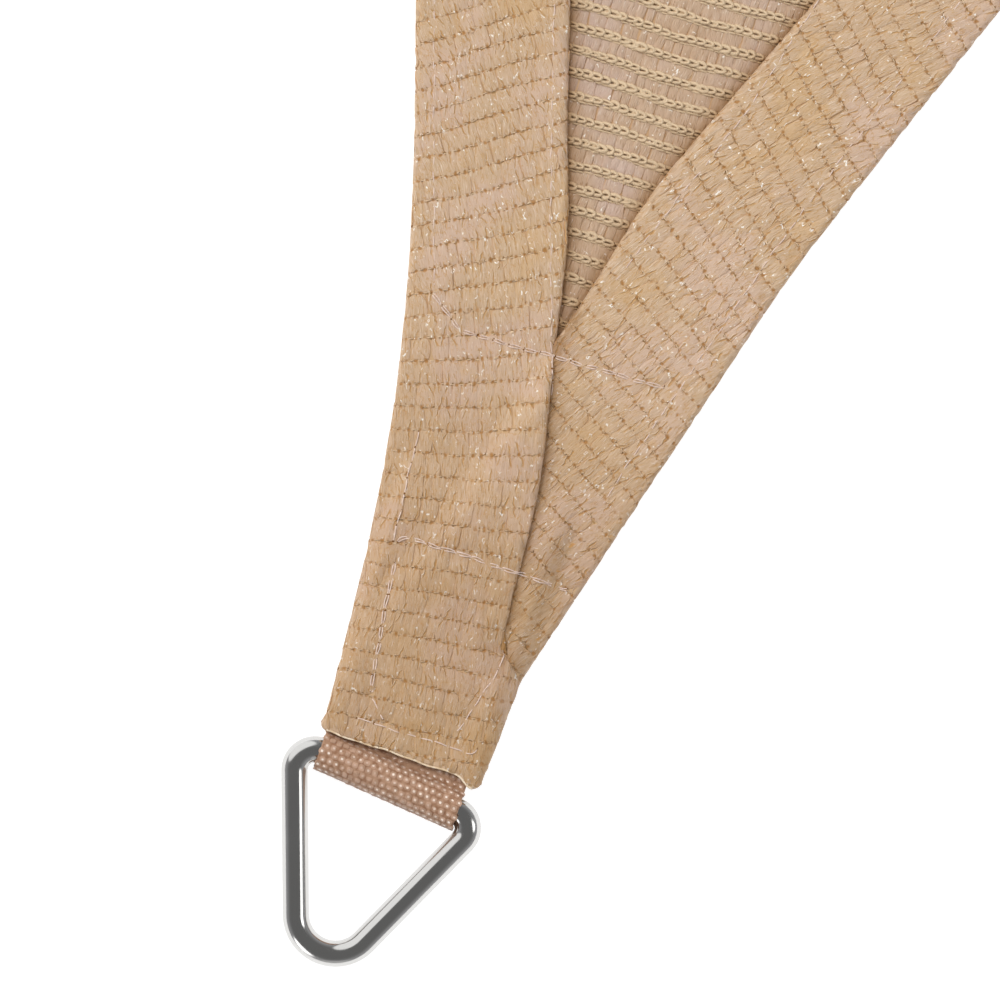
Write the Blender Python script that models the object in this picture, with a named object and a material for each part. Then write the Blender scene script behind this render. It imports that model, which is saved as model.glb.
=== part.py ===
"""A triangular shade sail of knitted cloth, laid flat with its hems upward.

The sail is one cloth. Each of its three long edges is cut to a hollow curve and turned over into a
hem. At every corner the hem of one edge laps over the hem of the next, and a folded strap, sewn
between the layers, holds a bent wire ring. The three corners are alike, each a third of a turn
from the last. The origin is the middle of the sail, on the surface that it lies on.

A corner's own places are given as (across, inward): across from its middle line, to the right for
someone who looks from the tip into the sail, and inward from its end edge.
"""

import math

import bmesh
import bpy
import numpy as np
from mathutils import Vector
from mathutils.geometry import delaunay_2d_cdt

MM = 0.001
CORNERS = 3
TURN = -2 * math.pi / CORNERS  # from one corner to the next, clockwise from above

# The whole sail
SIDE = 3.0  # from tip to tip
SHEET = 1.0 * MM  # one layer of the knit
TURNED = 2.0 * MM  # what the two turned layers of a hem add
GAP = 0.3 * MM  # between touching pieces
EDGE_ROUND = 0.8 * MM  # roundness of a folded edge
HEM_STEP = 0.8 * MM  # how wide the step at a hem's inner edge is
HIDDEN_STEP = 6.0 * MM  # the same where another hem lies over it

# The corner's outline: left edge, right edge and rounded end
CORNER_REACH = 130 * MM  # where the corner's own curves pass into the long edge
LEFT_END = 15.1 * MM
LEFT_TAPER = 0.08  # widening of the left edge at the tip, across over inward
LEFT_FLARE = 0.25  # what the left edge's widening grows by
LEFT_FLARE_FROM = 10 * MM
RIGHT_END = 17.25 * MM
RIGHT_TAPER = 0.04
RIGHT_KINK = 21 * MM  # where the right hem turns in under the left one
RIGHT_SLOPE = 0.262
RIGHT_FAR_SLOPE = 0.357  # of the right hem's both edges where they pass into the long edge
RIGHT_FLARE_FROM = 95 * MM
LEFT_LOBE = (-14.4 * MM, 1.4 * MM, 1.4 * MM)  # across, inward, radius
RIGHT_LOBE = (15.4 * MM, 0.15 * MM, 1.85 * MM)
LOBES_FROM = 11.8 * MM  # the end edge is straight this far out, then bends down to its lobes

# Hems
LEFT_HEM = 29.7 * MM
RIGHT_INNER_AT = (4.0 * MM, 88.0 * MM)  # a point of the right hem's inner edge
RIGHT_INNER_SLOPE = 0.245
RIGHT_HIDDEN_SLOPE = 0.3036  # of the same edge under the left hem
LAP_BEND = (13.0 * MM, 25.6 * MM)  # from here the left hem's inner edge turns to the right edge
LAP_END = (18.4 * MM, 20.2 * MM)
WANDER = 0.35 * MM  # unevenness of the sewn inner edges
WANDER_LENGTH = 46 * MM
FAR_OUT = 90 * MM  # how far the inner edges are carried on past the outline

# Pocket with the strap's tails
STRAP_MIDDLE = 0.2 * MM
STRAP_WIDTH = 28.8 * MM
STRAP_THICK = 1.0 * MM
TAIL = 44 * MM
POCKET_HEIGHT = 2 * STRAP_THICK + 3 * GAP
POCKET_LENGTH = TAIL + 2.5 * MM
BULGE_END = 60 * MM
BULGE_SIDE = 4 * MM
PRESSED = 0.3  # share of the turned layers' height that the corner seams take away
LIFT = 0.6 * MM  # how far the strap holds the tip up
LIFT_REACH = 30 * MM
MOUTH_DEPTH = 6 * MM  # over this the pocket opens towards the end edge
MOUTH_RISE = 1.6 * MM  # of its roof
MOUTH_DROP = 0.5 * MM  # of its floor
TAIL_RISE = 1.1 * MM  # of the upper tail there
UPPER_TAIL_FROM = 3.8 * MM  # inward of the bar's middle, where the upper tail is level again
LOWER_TAIL_FROM = 3.4 * MM

# Ring
WIRE = 2.55 * MM  # radius
RING_BENDS = (  # across, inward, radius of the bend, all on the wire's middle line
    (-19.7 * MM, -3.3 * MM, 4.0 * MM),
    (19.5 * MM, -7.0 * MM, 3.6 * MM),
    (-2.4 * MM, -52.7 * MM, 7.6 * MM),
)
RING_GAP = 0.5 * MM  # between the wire and the strap round it
BAR_HEIGHT = 4.15 * MM  # of the bar in the strap
APEX_HEIGHT = 2.6 * MM  # of the bend that lies on the ground
STRAP_BEND = WIRE + RING_GAP + STRAP_THICK / 2

# How finely things are drawn
CORNER_STEP = 5 * MM
EDGE_FROM = (3 * MM, 2 * MM)  # inward places where a corner's left and right edges start
ROW = np.arange(-40, 45, 3) * MM  # across places of the lines drawn over a corner
LIFT_STOPS = np.arange(6, 31, 6) * MM
BULGE_STOPS = 4
HIDDEN_REACH = 90 * MM  # how far from a tip the step under another hem is drawn
OUTSIDE = 3 * MM  # what a cutter stands out by
EDGE_PIECES = 36
BEND_PIECES = 9
LOOP_PIECES = 20
LOBE_PIECES = 5
END_PIECES = 20
TAIL_STOPS = [s * MM for s in (1.5, 3, 4.5, 6, 12, 18, 24, 30)]
CLEAR_OF_EDGE = 0.7 * MM  # inner lines stay this far inside the rounded edge

CLOTH_COLOUR = (0.62, 0.45, 0.29)
STRAP_COLOUR = (0.38, 0.23, 0.14)
STEEL_COLOUR = (0.62, 0.62, 0.63)


# Plan curves


def smooth(t):
    """0 up to t = 0, 1 from t = 1, and a soft ramp between."""
    t = np.clip(t, 0.0, 1.0)
    return t * t * (3 - 2 * t)


def flare(inward):
    """How far LEFT_FLARE has widened the left edge there, and its slope."""
    span = CORNER_REACH - LEFT_FLARE_FROM
    t = np.clip((inward - LEFT_FLARE_FROM) / span, 0.0, 1.0)
    return LEFT_FLARE * span * (t**3 - t**4 / 2), LEFT_FLARE * smooth(t)


def left_fold(inward):
    """Across of the left folded edge."""
    return -(LEFT_END + LEFT_TAPER * inward + flare(inward)[0])


def left_inner(inward):
    """Across of the left hem's inner edge, the hem's width from the fold."""
    slope = LEFT_TAPER + flare(inward)[1]
    wave = WANDER * np.sin(2 * math.pi * inward / WANDER_LENGTH)
    return left_fold(inward) + LEFT_HEM * np.sqrt(1 + slope**2) + wave


def right_flare(inward, slope):
    """How far an edge of the right hem has bent outwards there, from a slope to the far one."""
    span = CORNER_REACH - RIGHT_FLARE_FROM
    t = np.clip((inward - RIGHT_FLARE_FROM) / span, 0.0, 1.0)
    return (RIGHT_FAR_SLOPE - slope) * span * (t**3 - t**4 / 2)


def right_fold(inward):
    """Across of the right folded edge."""
    beyond = np.maximum(inward - RIGHT_KINK, 0.0)
    below = np.minimum(inward, RIGHT_KINK)
    straight = RIGHT_END + RIGHT_TAPER * below + RIGHT_SLOPE * beyond
    return straight + right_flare(inward, RIGHT_SLOPE)


def right_inner(inward):
    """Across of the right hem's inner edge, which runs on under the left hem."""
    across, at = RIGHT_INNER_AT
    wave = WANDER * np.sin(2 * math.pi * inward / WANDER_LENGTH + 1.0)
    slope = np.where(inward < at, RIGHT_HIDDEN_SLOPE, RIGHT_INNER_SLOPE)
    return across + slope * (inward - at) + right_flare(inward, RIGHT_INNER_SLOPE) + wave


def placed(corner, points):
    """Points of a corner, as rows of (across, inward), in the sail's plan."""
    points = np.atleast_2d(np.asarray(points, float))
    angle = -math.pi / 2 + corner * TURN
    outward = np.array([math.cos(angle), math.sin(angle)])
    across = np.array([-outward[1], outward[0]])
    tip = outward * SIDE / math.sqrt(3)
    return tip + points[:, :1] * across - points[:, 1:] * outward


def in_corner(corner, plan):
    """The other way round: (across, inward) of points of the plan."""
    angle = -math.pi / 2 + corner * TURN
    outward = np.array([math.cos(angle), math.sin(angle)])
    across = np.array([-outward[1], outward[0]])
    off = plan - outward * SIDE / math.sqrt(3)
    return off @ across, -(off @ outward)


def arc(centre, radius, start, end, pieces):
    """Points round a centre, from one angle to another, in degrees."""
    angles = np.radians(np.linspace(start, end, pieces + 1))
    return np.column_stack(
        [centre[0] + radius * np.cos(angles), centre[1] + radius * np.sin(angles)]
    )


def long_curve(start, end, start_way, end_way):
    """The hollow stretch between two corners, as a cubic curve without its end points."""
    handle = np.linalg.norm(end - start) / 3
    control = (start, start + handle * start_way, end + handle * end_way, end)
    t = np.linspace(0, 1, EDGE_PIECES + 1)[1:-1, None]
    weights = ((1 - t) ** 3, 3 * t * (1 - t) ** 2, 3 * t**2 * (1 - t), t**3)
    return sum(w * p for w, p in zip(weights, control))


def joined_edge(corner, near, far):
    """A corner's left line, the long curve and the next corner's right line, as one line."""
    near, far = placed(corner, near), placed(corner + 1, far)
    near_way = near[-1] - near[-2]
    far_way = far[0] - far[1]
    middle = long_curve(
        near[-1],
        far[0],
        near_way / np.linalg.norm(near_way),
        far_way / np.linalg.norm(far_way),
    )
    return np.vstack([near, middle, far])


def fold_edge(corner):
    """The folded outer edge from this corner's left side to the next one's right side."""
    left_from, right_from = EDGE_FROM
    up = np.append(np.arange(left_from, CORNER_REACH, CORNER_STEP), CORNER_REACH)
    down = np.arange(CORNER_REACH, RIGHT_KINK, -CORNER_STEP)
    down = np.append(down, (RIGHT_KINK, right_from))
    return joined_edge(
        corner,
        np.column_stack([left_fold(up), up]),
        np.column_stack([right_fold(down), down]),
    )


def inner_edge(corner):
    """The inner edge of the same hem, carried on past the sail's outline at both ends."""
    up = np.append(np.arange(LAP_BEND[1], CORNER_REACH, CORNER_STEP), CORNER_REACH)
    down = np.arange(CORNER_REACH, -FAR_OUT, -CORNER_STEP)
    way = np.subtract(LAP_END, LAP_BEND)
    outside = np.array(LAP_END) + way * FAR_OUT / np.linalg.norm(way)
    near = np.vstack([outside, LAP_END, np.column_stack([left_inner(up), up])])
    return joined_edge(corner, near, np.column_stack([right_inner(down), down]))


def end_edge(corner):
    """The rounded end of a corner, from its right side to its left side."""
    right = arc(RIGHT_LOBE[:2], RIGHT_LOBE[2], 0, -90, LOBE_PIECES)
    left = arc(LEFT_LOBE[:2], LEFT_LOBE[2], -90, -180, LOBE_PIECES)
    across = np.linspace(right[-1, 0], left[0, 0], END_PIECES + 1)[1:-1]
    share_right = smooth((across - LOBES_FROM) / (right[-1, 0] - LOBES_FROM))
    share_left = smooth((across + LOBES_FROM) / (left[0, 0] + LOBES_FROM))
    inward = share_right * right[-1, 1] + share_left * left[0, 1]
    return placed(corner, np.vstack([right, np.column_stack([across, inward]), left]))


def outline():
    """The sail's outline, counter-clockwise."""
    parts = []
    for corner in range(CORNERS):
        parts += [end_edge(corner), fold_edge(corner)]
    return np.vstack(parts)[::-1]


def inset(loop, distance):
    """A counter-clockwise loop moved inwards, each point along its own corner's middle."""
    before = loop - np.roll(loop, 1, axis=0)
    after = np.roll(loop, -1, axis=0) - loop
    before /= np.linalg.norm(before, axis=1, keepdims=True)
    after /= np.linalg.norm(after, axis=1, keepdims=True)
    inward_before = np.column_stack([-before[:, 1], before[:, 0]])
    inward_after = np.column_stack([-after[:, 1], after[:, 0]])
    middle = inward_before + inward_after
    middle /= np.linalg.norm(middle, axis=1, keepdims=True)
    stretch = np.clip((middle * inward_after).sum(axis=1), 0.6, 1.0)
    return loop + middle * (distance / stretch)[:, None]


def inside(loop, points):
    """Whether each point is inside a closed loop."""
    x, y = points[:, 0], points[:, 1]
    hits = np.zeros(len(points), bool)
    for (x1, y1), (x2, y2) in zip(loop, np.roll(loop, -1, axis=0)):
        crosses = (y1 > y) != (y2 > y)
        height = y2 - y1 if y2 != y1 else 1.0
        hits ^= crosses & (x < (x2 - x1) * (y - y1) / height + x1)
    return hits


def side_of(line, points):
    """Distance of each point from a line of points, positive to the left of its way."""
    best = np.full(len(points), np.inf)
    signed = np.zeros(len(points))
    for a, b in zip(line[:-1], line[1:]):
        way = b - a
        along = np.clip((points - a) @ way / (way @ way), 0, 1)
        off = points - (a + along[:, None] * way)
        distance = np.linalg.norm(off, axis=1)
        nearer = distance < best - 1e-12
        turn = np.sign(way[0] * off[:, 1] - way[1] * off[:, 0])
        signed[nearer] = (turn * distance)[nearer]
        best = np.minimum(best, distance)
    return signed


# Heights


def lift(inward):
    """How high the underside is held at a corner's tip."""
    return LIFT * (1 - smooth(inward / LIFT_REACH))


def mouth(inward):
    """1 at a corner's end edge, and 0 where the pocket is no longer opened out."""
    return 1 - smooth(inward / MOUTH_DEPTH)


def strap_share(across, inward):
    """1 where the strap's tails fill the corner, 0 away from them, with soft sides."""
    ahead = 1 - smooth((inward - POCKET_LENGTH) / (BULGE_END - POCKET_LENGTH))
    beside = np.abs(across - STRAP_MIDDLE) - STRAP_WIDTH / 2 - GAP
    return ahead * (1 - smooth(beside / BULGE_SIDE))


def underside(plan):
    """Height of the sail's underside over points of its plan."""
    height = np.zeros(len(plan))
    for corner in range(CORNERS):
        inward = in_corner(corner, plan)[1]
        height += np.where(inward < LIFT_REACH, lift(inward), 0.0)
    return height


def top(plan, inner_edges):
    """Height of the sail's upper face: one layer, the hems' turned layers and the straps."""
    into = [side_of(line, plan) for line in inner_edges]
    share = np.zeros(len(plan))
    pocket = np.zeros(len(plan))
    for corner in range(CORNERS):
        across, inward = in_corner(corner, plan)
        near = inward < 2 * CORNER_REACH
        over = np.where(near, np.clip(into[corner] / HEM_STEP, 0, 1), 0.0)
        width = HEM_STEP + (HIDDEN_STEP - HEM_STEP) * over
        under = np.clip(into[corner - 1] / width, 0, 1)
        share += np.where(near, over + under, 0.0)
        pocket += np.where(near, strap_share(across, inward), 0.0)
    far = np.ones(len(plan), bool)
    for corner in range(CORNERS):
        far &= in_corner(corner, plan)[1] >= 2 * CORNER_REACH
    edge = sum(np.clip(distance / HEM_STEP, 0, 1) for distance in into)
    share = np.where(far, edge, share)
    layers = TURNED * share * (1 - PRESSED * pocket)
    return underside(plan) + SHEET + layers + POCKET_HEIGHT * pocket


# Building


def polyline_runs(line, loop):
    """The stretches of a line of points that lie well inside a loop."""
    closed = np.vstack([loop, loop[:1]])
    clear = inside(loop, line) & (np.abs(side_of(closed, line)) > CLEAR_OF_EDGE)
    runs, run = [], []
    for point, held in zip(line, clear):
        if held:
            run.append(point)
        elif run:
            runs.append(run)
            run = []
    runs.append(run)
    return [np.array(r) for r in runs if len(r) > 1]


def filled(loop, lines):
    """Plan points and triangles that fill a loop and follow the lines inside it."""
    points = [tuple(p) for p in loop]
    edges = [(i, (i + 1) % len(loop)) for i in range(len(loop))]
    for line in lines:
        first = len(points)
        points += [tuple(p) for p in line]
        edges += [(first + i, first + i + 1) for i in range(len(line) - 1)]
    cut = delaunay_2d_cdt([Vector(p) for p in points], edges, [], 0, 1e-7)
    plan = np.array([tuple(p) for p in cut[0]])
    triangles = np.array(cut[2])
    middles = plan[triangles].mean(axis=1)
    triangles = triangles[inside(loop, middles)]
    sides = plan[triangles]
    turn = np.cross(sides[:, 1] - sides[:, 0], sides[:, 2] - sides[:, 0])
    triangles[turn < 0] = triangles[turn < 0][:, ::-1]
    return plan, triangles


def corner_lines(corner, inner_edges):
    """The lines that the upper face follows at a corner: its hidden step, strap and lift."""
    half = STRAP_WIDTH / 2 + GAP
    column = np.arange(EDGE_FROM[1], BULGE_END, CORNER_STEP)
    lines = rows_over(corner, [*LIFT_STOPS, *np.linspace(POCKET_LENGTH, BULGE_END, BULGE_STOPS)])
    for aside in (half, half + BULGE_SIDE / 2, half + BULGE_SIDE):
        for across in (STRAP_MIDDLE - aside, STRAP_MIDDLE + aside):
            places = np.column_stack([np.full(len(column), across), column])
            lines.append(placed(corner, places))
    under = inner_edges[corner - 1]
    near = in_corner(corner, under)[1] < HIDDEN_REACH
    lines.append(moved_aside(under, HIDDEN_STEP)[near])
    return lines


def rows_over(corner, stops):
    """Straight lines over a corner, one at each of the inward stops."""
    return [placed(corner, np.column_stack([ROW, np.full(len(ROW), s)])) for s in stops]


def moved_aside(line, distance):
    """A line of points moved to its left."""
    way = np.gradient(line, axis=0)
    way /= np.linalg.norm(way, axis=1, keepdims=True)
    return line + distance * np.column_stack([-way[:, 1], way[:, 0]])


def material(name, colour, roughness, metallic=0.0):
    """A plain finish."""
    made = bpy.data.materials.new(name)
    made.use_nodes = True
    shader = made.node_tree.nodes["Principled BSDF"]
    shader.inputs["Base Color"].default_value = (*colour, 1.0)
    shader.inputs["Roughness"].default_value = roughness
    shader.inputs["Metallic"].default_value = metallic
    return made


def add_object(name, mesh, finish):
    """An object of a mesh, in its finish."""
    made = bpy.data.objects.new(name, mesh)
    bpy.context.scene.collection.objects.link(made)
    mesh.materials.append(finish)
    return made


def mesh_of(name, points, faces, sharp_degrees=None):
    """A mesh of points and faces with its normals outward."""
    shape = bmesh.new()
    corners = [shape.verts.new(p) for p in points]
    for face in faces:
        shape.faces.new([corners[i] for i in face])
    bmesh.ops.recalc_face_normals(shape, faces=shape.faces)
    mesh = bpy.data.meshes.new(name)
    shape.to_mesh(mesh)
    shape.free()
    if sharp_degrees is not None:
        mesh.shade_smooth()
        mesh.set_sharp_from_angle(angle=math.radians(sharp_degrees))
    return mesh


def build_cloth():
    """The sail: a rounded rim between an underside and an upper face with the hems' steps."""
    rim = outline()
    rounded = inset(rim, EDGE_ROUND)
    inner_edges = [inner_edge(corner) for corner in range(CORNERS)]
    face_lines, ground_lines = [], []
    for corner, line in enumerate(inner_edges):
        face_lines += [line, moved_aside(line, HEM_STEP)]
        face_lines += corner_lines(corner, inner_edges)
        ground_lines += rows_over(corner, LIFT_STOPS)
    face_lines = [run for line in face_lines for run in polyline_runs(line, rounded)]
    ground_lines = [run for line in ground_lines for run in polyline_runs(line, rounded)]
    upper_plan, upper = filled(rounded, face_lines)
    lower_plan, lower = filled(rounded, ground_lines)

    upper_height = top(upper_plan, inner_edges)
    lower_height = underside(lower_plan)
    rim_top = top(rim, inner_edges)
    rim_low = underside(rim)
    points = [(*p, z) for p, z in zip(upper_plan, upper_height)]
    first_low = len(points)
    points += [(*p, z) for p, z in zip(lower_plan, lower_height)]
    first_high_rim = len(points)
    points += [(*p, z - EDGE_ROUND) for p, z in zip(rim, rim_top)]
    first_low_rim = len(points)
    points += [(*p, z + EDGE_ROUND) for p, z in zip(rim, rim_low)]

    count = len(rim)
    faces = [tuple(t) for t in upper]
    faces += [tuple(first_low + i for i in t[::-1]) for t in lower]
    rows = (first_low, first_low_rim, first_high_rim, 0)
    for low, high in zip(rows[:-1], rows[1:]):
        for i in range(count):
            after = (i + 1) % count
            faces.append((low + i, low + after, high + after, high + i))
    finish = material("knitted_polyethylene", CLOTH_COLOUR, 0.6)
    cloth = add_object("sail_cloth", mesh_of("sail_cloth", points, faces), finish)
    for corner in range(CORNERS):
        cutter = pocket_cutter(corner)
        cut = cloth.modifiers.new(f"pocket_{corner + 1}", "BOOLEAN")
        cut.operation = "DIFFERENCE"
        cut.solver = "EXACT"
        cut.object = cutter
    return cloth


def strip(corner, stations, left, right):
    """Points and faces of a bar through four-sided sections: (inward, low, high) at each."""
    points, faces = [], []
    for inward, low, high in stations:
        plan = placed(corner, [(left, inward), (right, inward)])
        for z in (low, high):
            points += [(*p, z) for p in plan]
    for i in range(len(stations) - 1):
        a, b = 4 * i, 4 * (i + 1)
        for j, k in ((0, 1), (1, 3), (3, 2), (2, 0)):
            faces.append((a + j, a + k, b + k, b + j))
    last = 4 * (len(stations) - 1)
    faces += [(0, 2, 3, 1), (last, last + 1, last + 3, last + 2)]
    return points, faces


def pocket_cutter(corner):
    """What is taken out of the cloth for the strap's tails, open at the end edge."""
    stations = []
    for inward in (-OUTSIDE, 0.0, *TAIL_STOPS, POCKET_LENGTH):
        floor = lift(inward) + SHEET
        roof = floor + POCKET_HEIGHT + MOUTH_RISE * mouth(inward)
        stations.append((inward, floor - MOUTH_DROP * mouth(inward), roof))
    half = STRAP_WIDTH / 2 + GAP
    points, faces = strip(corner, stations, STRAP_MIDDLE - half, STRAP_MIDDLE + half)
    cutter = bpy.data.objects.new(
        f"pocket_cutter_{corner + 1}", mesh_of("pocket_cutter", points, faces)
    )
    bpy.context.scene.collection.objects.link(cutter)
    cutter.hide_render = True
    cutter.display_type = "WIRE"
    return cutter


def bar_at(across):
    """(inward, height) of the bar's middle line at a place across."""
    (left, left_at, _), (right, right_at, _) = RING_BENDS[:2]
    inward = left_at + (right_at - left_at) * (across - left) / (right - left)
    return inward, ring_height(inward)


def ring_height(inward):
    """Height of the ring's middle line: it leans from the bar down to its far bend."""
    (left, left_at, _), (right, right_at, _), (far, far_at, bend) = RING_BENDS
    left_way = math.atan2(left_at - far_at, left - far)
    right_way = math.atan2(right_at - far_at, right - far)
    lowest = far_at + bend * (1 / math.sin((left_way - right_way) / 2) - 1)
    middle = (left_at + right_at) / 2
    return APEX_HEIGHT + (BAR_HEIGHT - APEX_HEIGHT) * (inward - lowest) / (middle - lowest)


def strap_profile(across):
    """The strap's middle line at its edge there, as rows of (inward, height)."""
    centre = np.array(bar_at(across))
    stops = np.array([centre[0] + LOWER_TAIL_FROM, *TAIL_STOPS, TAIL])
    height = lift(stops) + SHEET + GAP + STRAP_THICK / 2
    lower = np.column_stack([stops, height - MOUTH_DROP * mouth(stops)])
    stops[0] = centre[0] + UPPER_TAIL_FROM
    height += STRAP_THICK + GAP + TAIL_RISE * mouth(stops)
    upper = np.column_stack([stops, height])[::-1]
    angles = []
    for start, sign in ((upper[-1], 1), (lower[0], -1)):
        off = start - centre
        reach = math.acos(STRAP_BEND / np.linalg.norm(off))
        angles.append(math.atan2(off[1], off[0]) + sign * reach)
    turn = np.linspace(angles[0], angles[1] + 2 * math.pi, LOOP_PIECES + 1)
    loop = centre + STRAP_BEND * np.column_stack([np.cos(turn), np.sin(turn)])
    return np.vstack([upper, loop, lower])


def build_strap(corner, finish):
    """The folded strap: one closed band of even thickness round the ring's bar."""
    sections = []
    for sign in (-1, 1):
        across = STRAP_MIDDLE + sign * STRAP_WIDTH / 2
        line = strap_profile(across)
        both = [moved_aside(line, STRAP_THICK / 2), moved_aside(line, -STRAP_THICK / 2)]
        band = np.vstack([both[0], both[1][::-1]])
        plan = placed(corner, [(across, inward) for inward, _ in band])
        sections.append([(*p, z) for p, z in zip(plan, band[:, 1])])
    count = len(sections[0])
    half = count // 2
    points = sections[0] + sections[1]
    faces = [(i, (i + 1) % count, count + (i + 1) % count, count + i) for i in range(count)]
    for i in range(half - 1):
        side = (i, i + 1, count - 2 - i, count - 1 - i)
        faces += [side[::-1], tuple(count + j for j in side)]
    name = f"corner_strap_{corner + 1}"
    return add_object(name, mesh_of(name, points, faces, sharp_degrees=40), finish)


def ring_path(corner):
    """The wire's middle line round a ring, a bend at each corner."""
    bends = [np.array(b[:2]) for b in RING_BENDS]
    points = []
    for i, (_, _, radius) in enumerate(RING_BENDS):
        here, before, after = bends[i], bends[i - 1], bends[(i + 1) % len(bends)]
        to_before = (before - here) / np.linalg.norm(before - here)
        to_after = (after - here) / np.linalg.norm(after - here)
        half = math.acos(np.clip(to_before @ to_after, -1, 1)) / 2
        middle = (to_before + to_after) / np.linalg.norm(to_before + to_after)
        centre = here + middle * radius / math.sin(half)
        start = here + to_before * radius / math.tan(half) - centre
        end = here + to_after * radius / math.tan(half) - centre
        sweep = math.atan2(start[0] * end[1] - start[1] * end[0], start @ end)
        first = math.atan2(start[1], start[0])
        for angle in np.linspace(first, first + sweep, BEND_PIECES + 1):
            points.append(centre + radius * np.array([math.cos(angle), math.sin(angle)]))
    points = np.array(points)
    plan = placed(corner, points)
    return [(*p, ring_height(inward)) for p, inward in zip(plan, points[:, 1])]


def build_ring(corner, finish):
    """The ring: round wire bent to a triangle with soft corners and closed."""
    name = f"corner_ring_{corner + 1}"
    curve = bpy.data.curves.new(name, "CURVE")
    curve.dimensions = "3D"
    curve.twist_mode = "Z_UP"
    curve.bevel_depth = WIRE
    curve.bevel_resolution = 6
    path = ring_path(corner)
    spline = curve.splines.new("POLY")
    spline.points.add(len(path) - 1)
    for point, place in zip(spline.points, path):
        point.co = (*place, 1.0)
    spline.use_cyclic_u = True
    spline.use_smooth = True
    return add_object(name, curve, finish)


def main():
    for old in list(bpy.data.objects):
        bpy.data.objects.remove(old, do_unlink=True)
    build_cloth()
    strap_finish = material("woven_polyester", STRAP_COLOUR, 0.7)
    ring_finish = material("polished_stainless_steel", STEEL_COLOUR, 0.15, 1.0)
    for corner in range(CORNERS):
        build_strap(corner, strap_finish)
        build_ring(corner, ring_finish)


main()
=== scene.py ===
"""Looks of a triangular shade sail of knitted cloth, laid flat with its hems upward.

The sail is drawn in millimetres and turned into metres where a mesh is made. A corner's own places
are (across, inward): across from its middle line, to the right for someone who looks from the tip
into the sail, and inward from its end edge. The plan curves repeat the ones of the CAD part.

The cloth is a base of thin layers (the panel and three turned hems). Near each tip, where a viewer
comes close, the knit lies on them as real loops and tapes: it is laid out flat, as the cloth was
before it was hemmed, and then folded over the edges with the hems. Farther out the same knit is a
pattern of the base's material.
"""

import enum
import logging
import math
from collections.abc import Callable
from dataclasses import dataclass

import bpy
import numpy as np
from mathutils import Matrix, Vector
from mathutils.geometry import delaunay_2d_cdt


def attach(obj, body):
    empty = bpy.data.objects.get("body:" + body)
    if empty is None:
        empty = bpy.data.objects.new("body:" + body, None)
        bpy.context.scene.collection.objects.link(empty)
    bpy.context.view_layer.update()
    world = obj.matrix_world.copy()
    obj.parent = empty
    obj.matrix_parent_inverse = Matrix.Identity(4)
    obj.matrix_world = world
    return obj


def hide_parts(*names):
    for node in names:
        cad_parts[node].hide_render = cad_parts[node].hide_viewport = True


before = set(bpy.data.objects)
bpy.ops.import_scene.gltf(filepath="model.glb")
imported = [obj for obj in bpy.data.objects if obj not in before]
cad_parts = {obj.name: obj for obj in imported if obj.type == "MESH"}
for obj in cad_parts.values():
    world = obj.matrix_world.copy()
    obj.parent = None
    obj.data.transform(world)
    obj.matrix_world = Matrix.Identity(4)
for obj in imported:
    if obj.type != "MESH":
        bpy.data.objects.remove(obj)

LOG = logging.getLogger("sail")
MM = 0.001
CORNERS = 3
ROW_PITCH = 4.233
STITCH = 1.70
Array = np.ndarray
PlanFunction = Callable[[Array], Array]
Socket = bpy.types.NodeSocket
Value = Socket | float | tuple


# Small mathematics


def smooth(t: Array | float) -> Array:
    """0 up to t = 0, 1 from t = 1, and a soft ramp between."""
    t = np.clip(t, 0.0, 1.0)
    return t * t * (3 - 2 * t)


def unit(vectors: Array) -> Array:
    """Vectors, as rows, made one long."""
    return vectors / np.maximum(np.linalg.norm(vectors, axis=-1, keepdims=True), 1e-12)


def turned_left(vectors: Array) -> Array:
    """Plan vectors turned a quarter turn counter-clockwise."""
    return np.column_stack([-vectors[:, 1], vectors[:, 0]])


def lengths(line: Array) -> Array:
    """Length of a line of points up to each point."""
    return np.concatenate([[0], np.cumsum(np.linalg.norm(np.diff(line, axis=0), axis=1))])


def at_lengths(along: Array, steps: Array, values: Array) -> Array:
    """Rows of values read at lengths along a line whose points lie at the given steps."""
    return np.column_stack([np.interp(along, steps, column) for column in values.T])


def closed_line(loop: Array) -> Array:
    """A loop as a line that comes back to its first point."""
    return np.vstack([loop, loop[:1]])


def inset(loop: Array, distance: Array | float) -> Array:
    """Moves a counter-clockwise loop inwards, each point along its own corner's middle.

    Args:
        loop: The loop's points.
        distance: How far, for all points or for each.

    Returns:
        The moved points.
    """
    inward_before = turned_left(unit(loop - np.roll(loop, 1, axis=0)))
    inward_after = turned_left(unit(np.roll(loop, -1, axis=0) - loop))
    middle = unit(inward_before + inward_after)
    stretch = np.clip((middle * inward_after).sum(axis=1), 0.6, 1.0)
    return loop + middle * (distance / stretch)[:, None]


def eased(line: Array, times: int) -> Array:
    """A line with its bends rounded by averaging neighbours, its ends kept."""
    line = line.copy()
    for _ in range(times):
        line[1:-1] = (line[:-2] + 2 * line[1:-1] + line[2:]) / 4
    return line


def inside(loop: Array, points: Array) -> Array:
    """Tells which points lie inside a closed loop."""
    x, y = points[:, 0], points[:, 1]
    hits = np.zeros(len(points), bool)
    for (x1, y1), (x2, y2) in zip(loop, np.roll(loop, -1, axis=0)):
        crosses = (y1 > y) != (y2 > y)
        height = y2 - y1 if y2 != y1 else 1.0
        hits ^= crosses & (x < (x2 - x1) * (y - y1) / height + x1)
    return hits


@dataclass(frozen=True)
class Near:
    """Where points lie beside a line: the nearest place on it, its left side and how far off."""

    foot: Array
    left: Array
    distance: Array


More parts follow.
